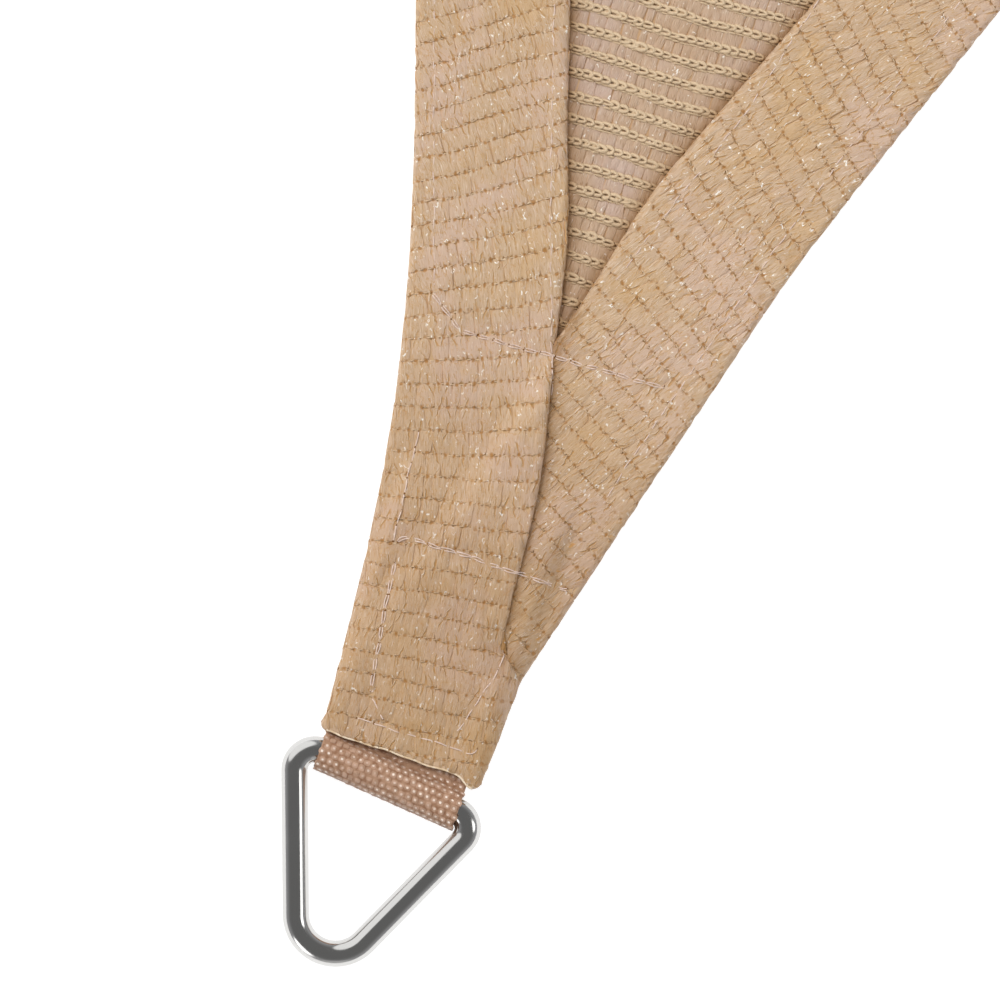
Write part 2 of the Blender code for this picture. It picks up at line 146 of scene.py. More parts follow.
def beside(line: Array, points: Array) -> Near:
    """Finds each point's nearest place on a line of points.

    Args:
        line: The line's points, as rows.
        points: The points to look at.

    Returns:
        The nearest places, the line's left way there, and the distances, positive to the left.
    """
    lefts = turned_left(unit(np.gradient(line, axis=0)))
    best = np.full(len(points), np.inf)
    foot = np.zeros_like(points, float)
    left = np.zeros_like(points, float)
    side = np.ones(len(points))
    for i in range(len(line) - 1):
        start, way = line[i], line[i + 1] - line[i]
        along = np.clip((points - start) @ way / (way @ way), 0, 1)[:, None]
        off = points - (start + along * way)
        distance = np.einsum("ij,ij->i", off, off)
        near = distance < best
        best[near] = distance[near]
        foot[near] = (start + along * way)[near]
        left[near] = (lefts[i] * (1 - along) + lefts[i + 1] * along)[near]
        side[near] = np.sign(way[0] * off[near, 1] - way[1] * off[near, 0])
    return Near(foot, unit(left), side * np.sqrt(best))


# The plan


@dataclass(frozen=True)
class CornerPlan:
    """A corner's outline and hem lines, in millimetres.

    The sizes are the CAD part's, apart from the lap's end, which stays 0.6 mm short of it.
    """

    reach: float = 130.0
    left_end: float = 15.1
    left_taper: float = 0.08
    left_flare: float = 0.25
    flare_from: float = 10.0
    right_end: float = 17.25
    right_taper: float = 0.04
    right_kink: float = 21.0
    right_slope: float = 0.262
    right_far_slope: float = 0.357
    right_flare_from: float = 95.0
    left_hem: float = 29.7
    inner_across: float = 4.0
    inner_inward: float = 88.0
    inner_slope: float = 0.245
    hidden_slope: float = 0.3036
    wander: float = 0.35
    wander_length: float = 46.0
    lap_bend: tuple[float, float] = (13.0, 25.6)
    lap_end: tuple[float, float] = (18.0, 20.6)
    left_lobe: tuple[float, float, float] = (-14.4, 1.4, 1.4)
    right_lobe: tuple[float, float, float] = (15.4, 0.15, 1.85)
    lobes_from: float = 11.8

    def left_fold(self, inward: Array) -> Array:
        """Across of the left folded edge."""
        span = self.reach - self.flare_from
        t = np.clip((inward - self.flare_from) / span, 0, 1)
        return -(self.left_end + self.left_taper * inward + self.left_flare * span * (t**3 - t**4 / 2))

    def left_inner(self, inward: Array) -> Array:
        """Across of the left hem's inner edge, the hem's width from the fold."""
        slope = self.left_taper
        share = (inward - self.flare_from) / (self.reach - self.flare_from)
        slope = slope + self.left_flare * smooth(share)
        wave = self.wander * np.sin(2 * math.pi * inward / self.wander_length)
        return self.left_fold(inward) + self.left_hem * np.sqrt(1 + slope**2) + wave

    def right_flare(self, inward: Array, slope: float) -> Array:
        """How far an edge of the right hem has bent outwards there, from a slope to the far one."""
        span = self.reach - self.right_flare_from
        t = np.clip((inward - self.right_flare_from) / span, 0, 1)
        return (self.right_far_slope - slope) * span * (t**3 - t**4 / 2)

    def right_fold(self, inward: Array) -> Array:
        """Across of the right folded edge."""
        beyond = np.maximum(inward - self.right_kink, 0.0)
        below = np.minimum(inward, self.right_kink)
        straight = self.right_end + self.right_taper * below + self.right_slope * beyond
        return straight + self.right_flare(inward, self.right_slope)

    def right_inner(self, inward: Array) -> Array:
        """Across of the right hem's inner edge, which runs on under the left hem."""
        wave = self.wander * np.sin(2 * math.pi * inward / self.wander_length + 1.0)
        slope = np.where(inward < self.inner_inward, self.hidden_slope, self.inner_slope)
        straight = self.inner_across + slope * (inward - self.inner_inward)
        return straight + self.right_flare(inward, self.inner_slope) + wave

    def end(self, pieces: int = 40) -> Array:
        """Draws the rounded end edge from the right side to the left side.

        Args:
            pieces: How many pieces the straight stretch has.

        Returns:
            Its points as rows of (across, inward).
        """
        lobes = []
        for (across, at, radius), first, last in ((self.right_lobe, 0, -90), (self.left_lobe, -90, -180)):
            angles = np.radians(np.linspace(first, last, 9))
            lobes.append(np.column_stack([across + radius * np.cos(angles), at + radius * np.sin(angles)]))
        right, left = lobes
        across = np.linspace(right[-1, 0], left[0, 0], pieces + 1)[1:-1]
        share_right = smooth((across - self.lobes_from) / (right[-1, 0] - self.lobes_from))
        share_left = smooth((across + self.lobes_from) / (left[0, 0] + self.lobes_from))
        inward = share_right * right[-1, 1] + share_left * left[0, 1]
        return np.vstack([right, np.column_stack([across, inward]), left])


class Layer(enum.Enum):
    """The cloth's layers at a corner, from the lowest up."""

    PANEL = 0
    UNDER = 1
    UPPER = 2


@dataclass(frozen=True)
class Heights:
    """Heights of the layers over a corner's places, in millimetres above the ground."""

    sheet: float = 1.0
    turned: float = 2.0
    pressed: float = 0.3
    pocket_height: float = 2.9
    pocket_length: float = 46.5
    bulge_end: float = 60.0
    bulge_side: float = 4.0
    strap_middle: float = 0.2
    strap_half: float = 14.7
    tip_lift: float = 0.6
    lift_reach: float = 30.0
    mouth_depth: float = 6.0
    hidden_step: float = 6.0
    sunk: float = 0.25
    under_knit: float = 0.08
    lap_pressed: float = 0.82
    plan: CornerPlan = CornerPlan()

    def lift(self, inward: Array) -> Array:
        """How high the strap holds the underside at the tip."""
        return self.tip_lift * (1 - smooth(inward / self.lift_reach))

    def mouth(self, inward: Array) -> Array:
        """1 at the end edge, 0 where the strap's pocket is no longer opened out."""
        return 1 - smooth(inward / self.mouth_depth)

    def pocket(self, across: Array, inward: Array) -> Array:
        """1 where the strap's tails fill the corner, 0 away from them, with soft sides."""
        ahead = 1 - smooth((inward - self.pocket_length) / (self.bulge_end - self.pocket_length))
        aside = np.abs(across - self.strap_middle) - self.strap_half
        return ahead * (1 - smooth(aside / self.bulge_side))

    def under(self, across: Array, inward: Array) -> Array:
        """1 where the other hem lies under the upper one, with a soft hidden step."""
        into = (across - self.plan.right_inner(inward)) / math.hypot(1, self.plan.hidden_slope)
        return smooth(into / self.hidden_step)

    def lap(self, across: Array, inward: Array) -> Array:
        """By what share the lap's end is pressed thin under the seams."""
        bend, end = np.array(self.plan.lap_bend), np.array(self.plan.lap_end)
        places = np.column_stack([np.ravel(across), np.ravel(inward)])
        way = end - bend
        along = np.clip((places - bend) @ way / (way @ way), 0, 1)[:, None]
        off = np.linalg.norm(places - (bend + along * way), axis=1)
        return (self.lap_pressed * (1 - smooth((off - 1.0) / 5.0))).reshape(np.shape(across))

    def puckers(self, across: Array, inward: Array) -> Array:
        """Soft troughs and ridges: the pull of the seams and of the strap's tails."""
        total = np.zeros_like(across, float)
        for dent in DENTS:
            total += dent.depth_at(across, inward)
        return total

    def top(self, layer: Layer, across: Array, inward: Array) -> Array:
        """Gives the height of a layer's upper face.

        Args:
            layer: Which layer.
            across: The places' across.
            inward: The places' inward.

        Returns:
            The heights.
        """
        base = self.lift(inward) + self.sheet
        if layer is Layer.PANEL:
            return base
        pocket = self.pocket(across, inward)
        share = np.ones(np.shape(across))
        if layer is Layer.UPPER:
            share = share + self.under(across, inward) - self.lap(across, inward)
        layers = self.turned * (1 - self.pressed * pocket) * share
        return base + layers + self.pocket_height * pocket + self.puckers(across, inward)

    def thickness(self, layer: Layer, across: Array, inward: Array) -> Array:
        """How thick a layer is there."""
        if layer is Layer.PANEL:
            return np.full(np.shape(across), self.sheet - self.sunk)
        pressed = self.turned * (1 - self.pressed * self.pocket(across, inward))
        if layer is Layer.UPPER:
            return pressed * (1 - self.lap(across, inward)) - 0.45 * self.mouth(inward)
        return pressed


@dataclass(frozen=True)
class Dent:
    """A straight soft trough (or ridge, where depth is positive) between two places of a corner."""

    start: tuple[float, float]
    stop: tuple[float, float]
    depth: float
    width: float

    def depth_at(self, across: Array, inward: Array) -> Array:
        """Height change at places, fading with the distance from the trough's line."""
        start, way = np.array(self.start), np.subtract(self.stop, self.start)
        points = np.column_stack([np.ravel(across), np.ravel(inward)])
        along = np.clip((points - start) @ way / (way @ way), 0, 1)[:, None]
        off = np.linalg.norm(points - (start + along * way), axis=1)
        return (self.depth * np.exp(-((off / self.width) ** 2))).reshape(np.shape(across))


# Lines of painted shade in the knit's colour, in creases and where the lap is gathered; the depth is the
# share.
CREASE_SHADES = (
    Dent((15.0, 18.5), (15.3, 13.2), 0.55, 0.9),  # inside the right edge
    Dent((15.3, 13.2), (16.1, 3.1), 0.60, 0.8),
    Dent((13.9, 25.7), (13.4, 20.3), 0.75, 0.5),  # beside the box's right side
    Dent((14.5, 26.1), (18.4, 28.5), 0.55, 0.45),  # where the lap is gathered
    Dent((13.2, 27.5), (12.2, 36.0), 0.60, 0.9),
    Dent((4.4, 84.0), (5.3, 91.0), 0.75, 1.4),  # where the hems meet over the panel
)

DENTS = (
    Dent((-13.0, 82.5), (26.0, 82.0), -0.40, 2.0),  # the cross seam
    Dent((-12.0, 40.3), (21.0, 40.3), -0.35, 1.8),  # top of the box of stitches
    Dent((-12.4, 35.2), (-8.5, 9.3), -0.35, 1.6),  # its left side
    Dent((-8.4, 9.1), (-4.2, 5.1), -0.30, 1.4),
    Dent((-10.0, 4.4), (14.0, 4.6), -0.30, 1.3),  # its lower side
    Dent((13.2, 25.6), (9.4, 7.5), -0.30, 1.5),  # its right side
    Dent((13.6, 19.0), (12.8, 2.5), 0.35, 1.8),  # a ridge inside the right edge
    Dent((-1.0, 30.0), (3.0, 12.0), 0.30, 6.0),  # the tails' fullness
    Dent((-14.0, 62.0), (-22.0, 92.0), 0.25, 5.0),
    Dent((8.0, 52.0), (16.0, 74.0), -0.25, 5.0),
    Dent((26.0, 92.0), (36.0, 128.0), 0.22, 5.0),
)


@dataclass(frozen=True)
class SailPlan:
    """The whole sail's plan: three like corners, each a third of a turn from the last."""

    corner: CornerPlan = CornerPlan()
    side: float = 3000.0
    turn: float = -2 * math.pi / CORNERS

    def axes(self, corner: int) -> tuple[Array, Array, Array]:
        """Outward way, across way and tip of a corner."""
        angle = -math.pi / 2 + corner * self.turn
        outward = np.array([math.cos(angle), math.sin(angle)])
        return outward, np.array([-outward[1], outward[0]]), outward * self.side / math.sqrt(3)

    def placed(self, corner: int, points: Array) -> Array:
        """Plan points of a corner's places, given as rows of (across, inward)."""
        outward, across, tip = self.axes(corner)
        points = np.atleast_2d(np.asarray(points, float))
        return tip + points[:, :1] * across - points[:, 1:2] * outward

    def in_corner(self, corner: int, plan: Array) -> Array:
        """The other way round: rows of (across, inward) of plan points."""
        outward, across, tip = self.axes(corner)
        off = plan - tip
        return np.column_stack([off @ across, -(off @ outward)])

    def joined(self, corner: int, near: Array, far: Array, pieces: int) -> Array:
        """Joins a corner's left line with the next corner's right line by a hollow curve.

        Args:
            corner: The first corner.
            near: Its line, as rows of (across, inward), outwards along the long edge.
            far: The next corner's line, towards its tip.
            pieces: How many pieces the curve between has.

        Returns:
            The whole line in the plan.
        """
        near, far = self.placed(corner, near), self.placed(corner + 1, far)
        start, end = near[-1], far[0]
        handle = np.linalg.norm(end - start) / 3
        control = (
            start,
            start + handle * unit(near[-1] - near[-2]),
            end + handle * unit(far[0] - far[1]),
            end,
        )
        t = np.linspace(0, 1, pieces + 1)[1:-1, None]
        weights = ((1 - t) ** 3, 3 * t * (1 - t) ** 2, 3 * t**2 * (1 - t), t**3)
        return np.vstack([near, sum(w * p for w, p in zip(weights, control)), far])

    def fold_line(self, corner: int, past: float = 0.0, pieces: int = 240) -> Array:
        """Draws the folded edge from a corner's left side to the next corner's right side.

        Args:
            corner: The first corner.
            past: How far the line is carried on straight past both tips.
            pieces: How many pieces the long curve has.

        Returns:
            Its points in the plan.
        """
        plan = self.corner
        up = np.arange(3.0, plan.reach + 0.1, 127.0 / 50)
        down = np.append(np.arange(plan.reach, plan.right_kink, -2.725), np.arange(21.0, 1.9, -1.9))
        near = np.column_stack([plan.left_fold(up), up])
        far = np.column_stack([plan.right_fold(down), down])
        if past:
            near = np.vstack([near[0] + (near[0] - near[1]) * past / 2.54, near])
            far = np.vstack([far, far[-1] + (far[-1] - far[-2]) * past / 1.9])
        return self.joined(corner, near, far, pieces)

    def inner_line(self, corner: int, pieces: int = 240) -> Array:
        """The inner edge of the same hem, from its lap's end to where it is hidden."""
        plan = self.corner
        up = np.append(np.arange(plan.lap_bend[1] + 1.0, plan.reach, 2.6), plan.reach)
        down = np.arange(plan.reach, 24.9, -2.5)
        near = np.vstack([plan.lap_end, plan.lap_bend, np.column_stack([plan.left_inner(up), up])])
        return self.joined(corner, near, np.column_stack([plan.right_inner(down), down]), pieces)

    def outline(self) -> Array:
        """The whole sail's outline, counter-clockwise."""
        parts = []
        for corner in range(CORNERS):
            parts += [self.placed(corner, self.corner.end()), self.fold_line(corner)]
        return np.vstack(parts)[::-1]

    def hem_loop(self, corner: int) -> Array:
        """Draws the outline of the hem between two corners, counter-clockwise.

        The hem covers the first corner's whole tip and ends under the next corner's own hem.

        Args:
            corner: The first corner.

        Returns:
            The loop's points in the plan.
        """
        plan = self.corner
        sides = np.array([6.0, 12.0, 19.0])
        hidden = np.column_stack([plan.left_fold(sides) + 1.2, sides])
        fold = self.fold_line(corner)
        end_of_fold = self.in_corner(corner + 1, fold)[:, 1] > 5.0
        rights = np.arange(19.0, 1.9, -1.7)
        right = np.column_stack([plan.right_fold(rights), rights])
        loop = [
            fold[end_of_fold],
            self.placed(corner + 1, hidden),
            self.inner_line(corner)[::-1],
            self.placed(corner, right),
            self.placed(corner, plan.end()),
        ]
        return np.vstack(loop)[::-1]


PLAN = SailPlan()
HEIGHTS = Heights()


def swell(plan: Array) -> Array:
    """Height of the low soft ridges that run in from the corners of a sail lying loose.

    Args:
        plan: Points of the plan.

    Returns:
        The extra height, none near the corners.
    """
    height = np.zeros(len(plan))
    calm = np.ones(len(plan))
    for corner, (count, shift) in enumerate(((11, 0.4), (9, 1.9), (12, 3.1))):
        across, inward = PLAN.in_corner(corner, plan).T
        angle = np.arctan2(across, np.maximum(inward, 1.0))
        reach = smooth((inward - 260) / 500) * (1 - smooth((inward - 900) / 900))
        height += 2.6 * reach * (0.5 + 0.5 * np.cos(count * angle + shift)) ** 2
        calm *= smooth((inward - 230) / 250)
    x, y = plan.T / 1000
    broad = 0.5 + 0.25 * np.sin(3.1 * x + 1.3 * y + 0.6) + 0.25 * np.sin(-1.7 * x + 3.7 * y + 2.0)
    return calm * (height + 1.6 * broad)


# Meshes


def new_object(name: str, mesh: bpy.types.Mesh, *finishes: bpy.types.Material) -> bpy.types.Object:
    """Puts a mesh with its finishes in the scene as an object.

    Args:
        name: The object's name.
        mesh: Its mesh.
        finishes: Its materials, in slot order.

    Returns:
        The object.
    """
    made = bpy.data.objects.new(name, mesh)
    bpy.context.scene.collection.objects.link(made)
    if finishes:
        mesh.materials.clear()
    for finish in finishes:
        mesh.materials.append(finish)
    return made


def mesh_from(name: str, points: Array, faces: list[tuple[int, ...]]) -> bpy.types.Mesh:
    """Makes a smooth-shaded mesh of points in millimetres."""
    mesh = bpy.data.meshes.new(name)
    mesh.from_pydata((np.asarray(points) * MM).tolist(), [], faces)
    mesh.shade_smooth()
    mesh.validate()
    return mesh


def set_points(mesh: bpy.types.Mesh, points: Array) -> None:
    """Moves a mesh's points to places in millimetres."""
    mesh.vertices.foreach_set("co", (points * MM).astype(np.float32).ravel())
    mesh.update()


def get_points(mesh: bpy.types.Mesh) -> Array:
    """A mesh's points in millimetres."""
    points = np.empty(len(mesh.vertices) * 3, np.float32)
    mesh.vertices.foreach_get("co", points)
    return points.reshape(-1, 3).astype(float) / MM


def set_uv(mesh: bpy.types.Mesh, name: str, places: Array) -> None:
    """Stores a flat place for each point, in millimetres, as a UV map in metres."""
    corners = np.empty(len(mesh.loops), np.int32)
    mesh.loops.foreach_get("vertex_index", corners)
    layer = mesh.uv_layers.new(name=name)
    layer.data.foreach_set("uv", (places[corners] * MM).astype(np.float32).ravel())


def set_value(mesh: bpy.types.Mesh, name: str, values: Array) -> None:
    """Stores a number for each point."""
    attribute = mesh.attributes.new(name, "FLOAT", "POINT")
    attribute.data.foreach_set("value", np.asarray(values, np.float32))


def filled(loop: Array, extra: Array) -> tuple[Array, Array]:
    """Fills a loop with triangles through the points inside it.

    Args:
        loop: The counter-clockwise loop.
        extra: Points inside it.

    Returns:
        The plan points, the loop's first, and the triangles.
    """
    points = [Vector(p) for p in np.vstack([loop, extra])]
    edges = [(i, (i + 1) % len(loop)) for i in range(len(loop))]
    cut = delaunay_2d_cdt(points, edges, [], 1, 1e-6)
    plan = np.array([tuple(p) for p in cut[0]])
    triangles = np.array(cut[2])
    sides = plan[triangles]
    first, second = sides[:, 1] - sides[:, 0], sides[:, 2] - sides[:, 0]
    back = first[:, 0] * second[:, 1] - first[:, 1] * second[:, 0] < 0
    triangles[back] = triangles[back][:, ::-1]
    return plan, triangles


@dataclass(frozen=True)
class Sheet:
    """A thin closed layer of cloth: two faces over a plan loop, joined by a rounded rim."""

    name: str
    loop: Array
    extra: Array
    steps: int = 5

    def build(
        self, top_of: PlanFunction, thickness_of: PlanFunction
    ) -> tuple[bpy.types.Mesh, Array, Array]:
        """Builds the layer.

        Args:
            top_of: Gives the upper face's heights over plan points.
            thickness_of: Gives the layer's thickness there.

        Returns:
            The mesh, each point's place in the plan, and how far up the layer it is, 0 to 1.
        """
        thick = thickness_of(self.loop)
        rings, shares, heights = [], [], []
        for angle in np.linspace(-math.pi / 2, math.pi / 2, 2 * self.steps + 1):
            ring = inset(self.loop, thick / 2 * (1 - math.cos(angle)))
            rings.append(ring)
            heights.append(top_of(ring) - thickness_of(ring) / 2 * (1 - math.sin(angle)))
            shares.append(np.full(len(self.loop), (1 + math.sin(angle)) / 2))
        count = len(self.loop)
        faces = []
        for ring in range(len(rings) - 1):
            low, high = ring * count, (ring + 1) * count
            for i in range(count):
                after = (i + 1) % count
                faces.append((low + i, low + after, high + after, high + i))
        plan = [np.vstack(rings)]
        for up, ring, first in ((False, rings[0], 0), (True, rings[-1], (len(rings) - 1) * count)):
            places, triangles = filled(ring, self.extra)
            start = sum(len(p) for p in plan)
            number = np.concatenate([first + np.arange(count), start + np.arange(len(places) - count)])
            triangles = number[triangles if up else triangles[:, ::-1]]
            faces += [tuple(t) for t in triangles.tolist()]
            added = places[count:]
            plan.append(added)
            height = top_of(added) - (0.0 if up else thickness_of(added))
            heights.append(height)
            shares.append(np.full(len(added), float(up)))
        plan = np.vstack(plan)
        points = np.column_stack([plan, np.concatenate(heights)])
        return mesh_from(self.name, points, faces), plan, np.concatenate(shares)


def grid(loop: Array, step: float, keep: PlanFunction, clear: float) -> Array:
    """Lays a grid of points inside a loop.

    Args:
        loop: The closed loop.
        step: The grid's step.
        keep: Tells for plan points whether they are wanted.
        clear: How far they stay from the loop.

    Returns:
        The points.
    """
    low, high = loop.min(axis=0), loop.max(axis=0)
    x, y = np.meshgrid(np.arange(low[0], high[0], step), np.arange(low[1], high[1], step))
    points = np.column_stack([x.ravel() + 0.13 * step, y.ravel() + 0.31 * step])
    points = points[keep(points)]
    points = points[inside(loop, points)]
    return points[np.abs(beside(closed_line(loop), points).distance) > clear]


def nearest_corner(plan: Array) -> tuple[Array, Array]:
    """Each plan point's nearest corner, and its (across, inward) there."""
    places = np.stack([PLAN.in_corner(corner, plan) for corner in range(CORNERS)])
    nearest = places[:, :, 1].argmin(axis=0)
    return nearest, places[nearest, np.arange(len(plan))]


# Nodes


def fill(node: bpy.types.Node, inputs: dict) -> None:
    """Gives a node's inputs, by name or number, their values or links."""
    for key, value in inputs.items():
        socket = node.inputs[key]
        if isinstance(value, Socket):
            node.id_data.links.new(value, socket)
        else:
            socket.default_value = value


def add_node(
    tree: bpy.types.NodeTree, kind: str, inputs: dict | None = None, **settings
) -> bpy.types.Node:
    """Adds a node with its settings, and with values or links for its inputs.

    Args:
        tree: The tree.
        kind: The node's type name.
        inputs: A value, or another node's output, for each input's name or number.
        settings: The node's own properties.

    Returns:
        The node.
    """
    made = tree.nodes.new(kind)
    for name, value in settings.items():
        setattr(made, name, value)
    fill(made, inputs or {})
    return made


def live_output(node: bpy.types.Node) -> Socket:
    """The first output that a node's settings leave switched on."""
    return next(socket for socket in node.outputs if socket.enabled)


def linear(hex_colour: str) -> tuple[float, float, float, float]:
    """A screen colour such as "c8a27d" as the linear colour that a shader takes."""
    levels = [int(hex_colour[i : i + 2], 16) / 255 for i in (0, 2, 4)]
    made = [v / 12.92 if v <= 0.04045 else ((v + 0.055) / 1.055) ** 2.4 for v in levels]
    return (*made, 1.0)


def new_material(name: str) -> tuple[bpy.types.Material, bpy.types.NodeTree, bpy.types.Node]:
    """A material with its tree and its main shader."""
    made = bpy.data.materials.new(name)
    made.use_nodes = True
    return made, made.node_tree, made.node_tree.nodes["Principled BSDF"]


def mixed(tree: bpy.types.NodeTree, share: Value, first: Value, second: Value) -> Socket:
    """Colour that goes from the first to the second as the share goes from 0 to 1."""
    inputs = {0: share, 6: first, 7: second}
    return add_node(tree, "ShaderNodeMix", inputs, data_type="RGBA").outputs[2]


def math_node(tree: bpy.types.NodeTree, operation: str, *values: Value) -> Socket:
    """Result of a mathematical node on values or outputs."""
    return add_node(tree, "ShaderNodeMath", dict(enumerate(values)), operation=operation).outputs[0]


def ramp(tree: bpy.types.NodeTree, value: Value, low: float, high: float) -> Socket:
    """0 where the value is at low and 1 where it is at high, with a soft ramp between."""
    inputs = {"Value": value, "From Min": low, "From Max": high}
    return add_node(tree, "ShaderNodeMapRange", inputs, interpolation_type="SMOOTHSTEP").outputs[0]


# Finishes


@dataclass(frozen=True)
class TapeFinish:
    """Slit high-density polyethylene tape, knitted: a satin film that is fibrillated along its way.

    The eye gets a pale tan, pinkish or golden in patches, fine lines that run on from tape to tape,
    painted shade in pinholes beside every stitch with a pale thread between them, painted shade in a
    few open slits with a painted highlight on their lit sides, painted shade at the pebbles' rims and
    beside raised edges, and small crooked painted glints and sheen streaks. The stitches are marked at
    their real pitch.
    """

    name: str = "knitted_tape_polyethylene"
    pale: str = "d5b899"
    deep: str = "c6a684"
    pink: str = "d2b49c"
    gold: str = "d0ac80"
    # Painted shade: in the open slits, in the fine openings along the tape and in the film's folds.
    slit_shade: str = "bf8c4c"
    # Painted shade in the pinholes beside each stitch.
    pinhole_shade: str = "a8712c"
    # Painted shade beside raised edges, in creases and near the tip.
    shade_colour: str = "93662f"
    thread: str = "e3c8a6"
    # Painted shade on the pebbles' rims, where they go down between their neighbours.
    rim_shade_colour: str = "dc9f4e"
    # Painted highlight: the colour of the painted glints and of the sheen streaks.
    painted_light: str = "fdf6ec"
    marked: float = 1.0
    rim_shade: float = 0.7
    roughness: float = 0.36
    streak_width: float = 0.17 * MM
    streak_length: float = 2.4 * MM
    broad: float = 55.0
    mottle: float = 420.0

    def noise(
        self, tree: bpy.types.NodeTree, place: Socket, scale: float, detail: float, output: str = "Fac"
    ) -> Socket:
        """Soft noise over a place, as a number or a colour."""
        inputs = {"Vector": place, "Scale": scale, "Detail": detail}
        return add_node(tree, "ShaderNodeTexNoise", inputs).outputs[output]

    def stitch_marks(self, tree: bpy.types.NodeTree, knit: Socket) -> tuple[Socket, ...]:
        """Finds the marks that come back at every stitch, no two quite alike.

        Args:
            tree: The material's tree.
            knit: The places on the flat cloth, in metres.

        Returns:
            The shares of the painted shade in the pinholes, of the thread between them, of the painted
            shade in the slits and of the painted highlight on their lit sides.
        """
        stray = self.noise(tree, knit, 700.0, 1.0, "Color")
        centred = {0: stray, 1: (0.9 * MM, 0.9 * MM, 0.0), 2: (-0.45 * MM, -0.45 * MM, 0.0)}
        moved = add_node(tree, "ShaderNodeVectorMath", centred, operation="MULTIPLY_ADD").outputs[0]
        place = add_node(tree, "ShaderNodeVectorMath", {0: knit, 1: moved}).outputs[0]
        split = add_node(tree, "ShaderNodeSeparateXYZ", {0: place}).outputs
        numbers, aside, offsets = [], [], []
        for way, pitch in (("X", STITCH), ("Y", ROW_PITCH)):
            steps = math_node(tree, "DIVIDE", split[way], pitch * MM)
            number = math_node(tree, "ROUND", steps)
            gone = math_node(tree, "SUBTRACT", steps, number)
            numbers.append(number)
            aside.append(math_node(tree, "MULTIPLY", gone, pitch))
            offsets.append(math_node(tree, "ABSOLUTE", aside[-1]))
        cell = add_node(tree, "ShaderNodeCombineXYZ", dict(enumerate(numbers))).outputs[0]
        chance = add_node(tree, "ShaderNodeTexWhiteNoise", {"Vector": cell}).outputs["Color"]
        picks = add_node(tree, "ShaderNodeSeparateXYZ", {0: chance}).outputs
        shares = [math_node(tree, "DIVIDE", off, size) for off, size in zip(offsets, (0.46, 0.50))]
        spread = add_node(tree, "ShaderNodeCombineXYZ", dict(enumerate(shares))).outputs[0]
        far = add_node(tree, "ShaderNodeVectorMath", {0: spread}, operation="LENGTH").outputs["Value"]
        # Painted shade in the hole beside each stitch, its strength varying at random.
        pinhole_shade = math_node(tree, "MULTIPLY", ramp(tree, far, 1.0, 0.3), ramp(tree, picks[0], -0.6, 0.5))
        thread = math_node(
            tree, "MULTIPLY", ramp(tree, offsets[1], 0.20, 0.08), ramp(tree, picks[2], 0.0, 1.0)
        )
        lean = math_node(tree, "MULTIPLY_ADD", picks[2], 0.8, -0.4)
        across = math_node(tree, "MULTIPLY_ADD", lean, aside[1], aside[0])
        reach = math_node(
            tree, "MULTIPLY", ramp(tree, offsets[1], 0.2, 0.6), ramp(tree, offsets[1], 2.1, 1.4)
        )
        some = math_node(tree, "MULTIPLY", reach, ramp(tree, picks[1], 0.15, 0.9))
        # Painted shade in a few open slits, slanting at random.
        open_slit = ramp(tree, math_node(tree, "ABSOLUTE", across), 0.20, 0.05)
        slit_shade = math_node(tree, "MULTIPLY", open_slit, some)
        # Painted highlight on the lit sides of the slits.
        beside_slit = math_node(tree, "ABSOLUTE", math_node(tree, "SUBTRACT", across, 0.22))
        lit = math_node(tree, "MULTIPLY", ramp(tree, beside_slit, 0.14, 0.04), some)
        return tuple(
            math_node(tree, "MULTIPLY", share, strength * self.marked)
            for share, strength in ((pinhole_shade, 0.85), (thread, 0.6), (slit_shade, 0.85), (lit, 0.6))
        )

    def crooked(
        self, tree: bpy.types.NodeTree, place: Socket, level: float, width: float
    ) -> Socket:
        """Thin crooked lines: where a soft noise passes through a level."""
        off = math_node(tree, "ABSOLUTE", math_node(tree, "SUBTRACT", place, level))
        return ramp(tree, off, width, width / 2)

    def build(self) -> bpy.types.Material:
        """Builds the material."""
        made, tree, shader = new_material(self.name)
        knit = add_node(tree, "ShaderNodeUVMap", uv_map="knit").outputs[0]
        whole = add_node(tree, "ShaderNodeTexCoord").outputs["Object"]
        tone = add_node(tree, "ShaderNodeAttribute", attribute_name="tone").outputs["Fac"]
        scale = (1 / self.streak_width, 1 / self.streak_length, 1.0)
        flat = add_node(tree, "ShaderNodeVectorMath", {0: knit, 1: scale}, operation="MULTIPLY").outputs[0]
        streak = self.noise(tree, flat, 1.0, 2.0)
        broad = self.noise(tree, whole, self.broad, 2.0)
        mottle = self.noise(tree, whole, self.mottle, 3.0)
        mood = math_node(tree, "MULTIPLY_ADD", tone, 0.035, broad)
        body = mixed(tree, ramp(tree, streak, 0.3, 0.7), linear(self.deep), linear(self.pale))
        body = mixed(tree, ramp(tree, mood, 0.49, 0.66), body, linear(self.pink))
        golden = math_node(tree, "MULTIPLY", ramp(tree, mood, 0.46, 0.34), 0.7)
        body = mixed(tree, golden, body, linear(self.gold))
        patchy = math_node(tree, "MULTIPLY", ramp(tree, mottle, 0.52, 0.68), 0.4)
        body = mixed(tree, patchy, body, linear(self.gold))
        # Painted sheen: pale streaks along the film.
        shine = math_node(tree, "MULTIPLY", ramp(tree, streak, 0.60, 0.74), 0.45)
        body = mixed(tree, shine, body, linear(self.painted_light))
        rim = add_node(tree, "ShaderNodeAttribute", attribute_name="rim").outputs["Fac"]
        # Painted shade at each pebble's rim.
        edge = math_node(tree, "MULTIPLY", math_node(tree, "POWER", rim, 1.6), self.rim_shade)
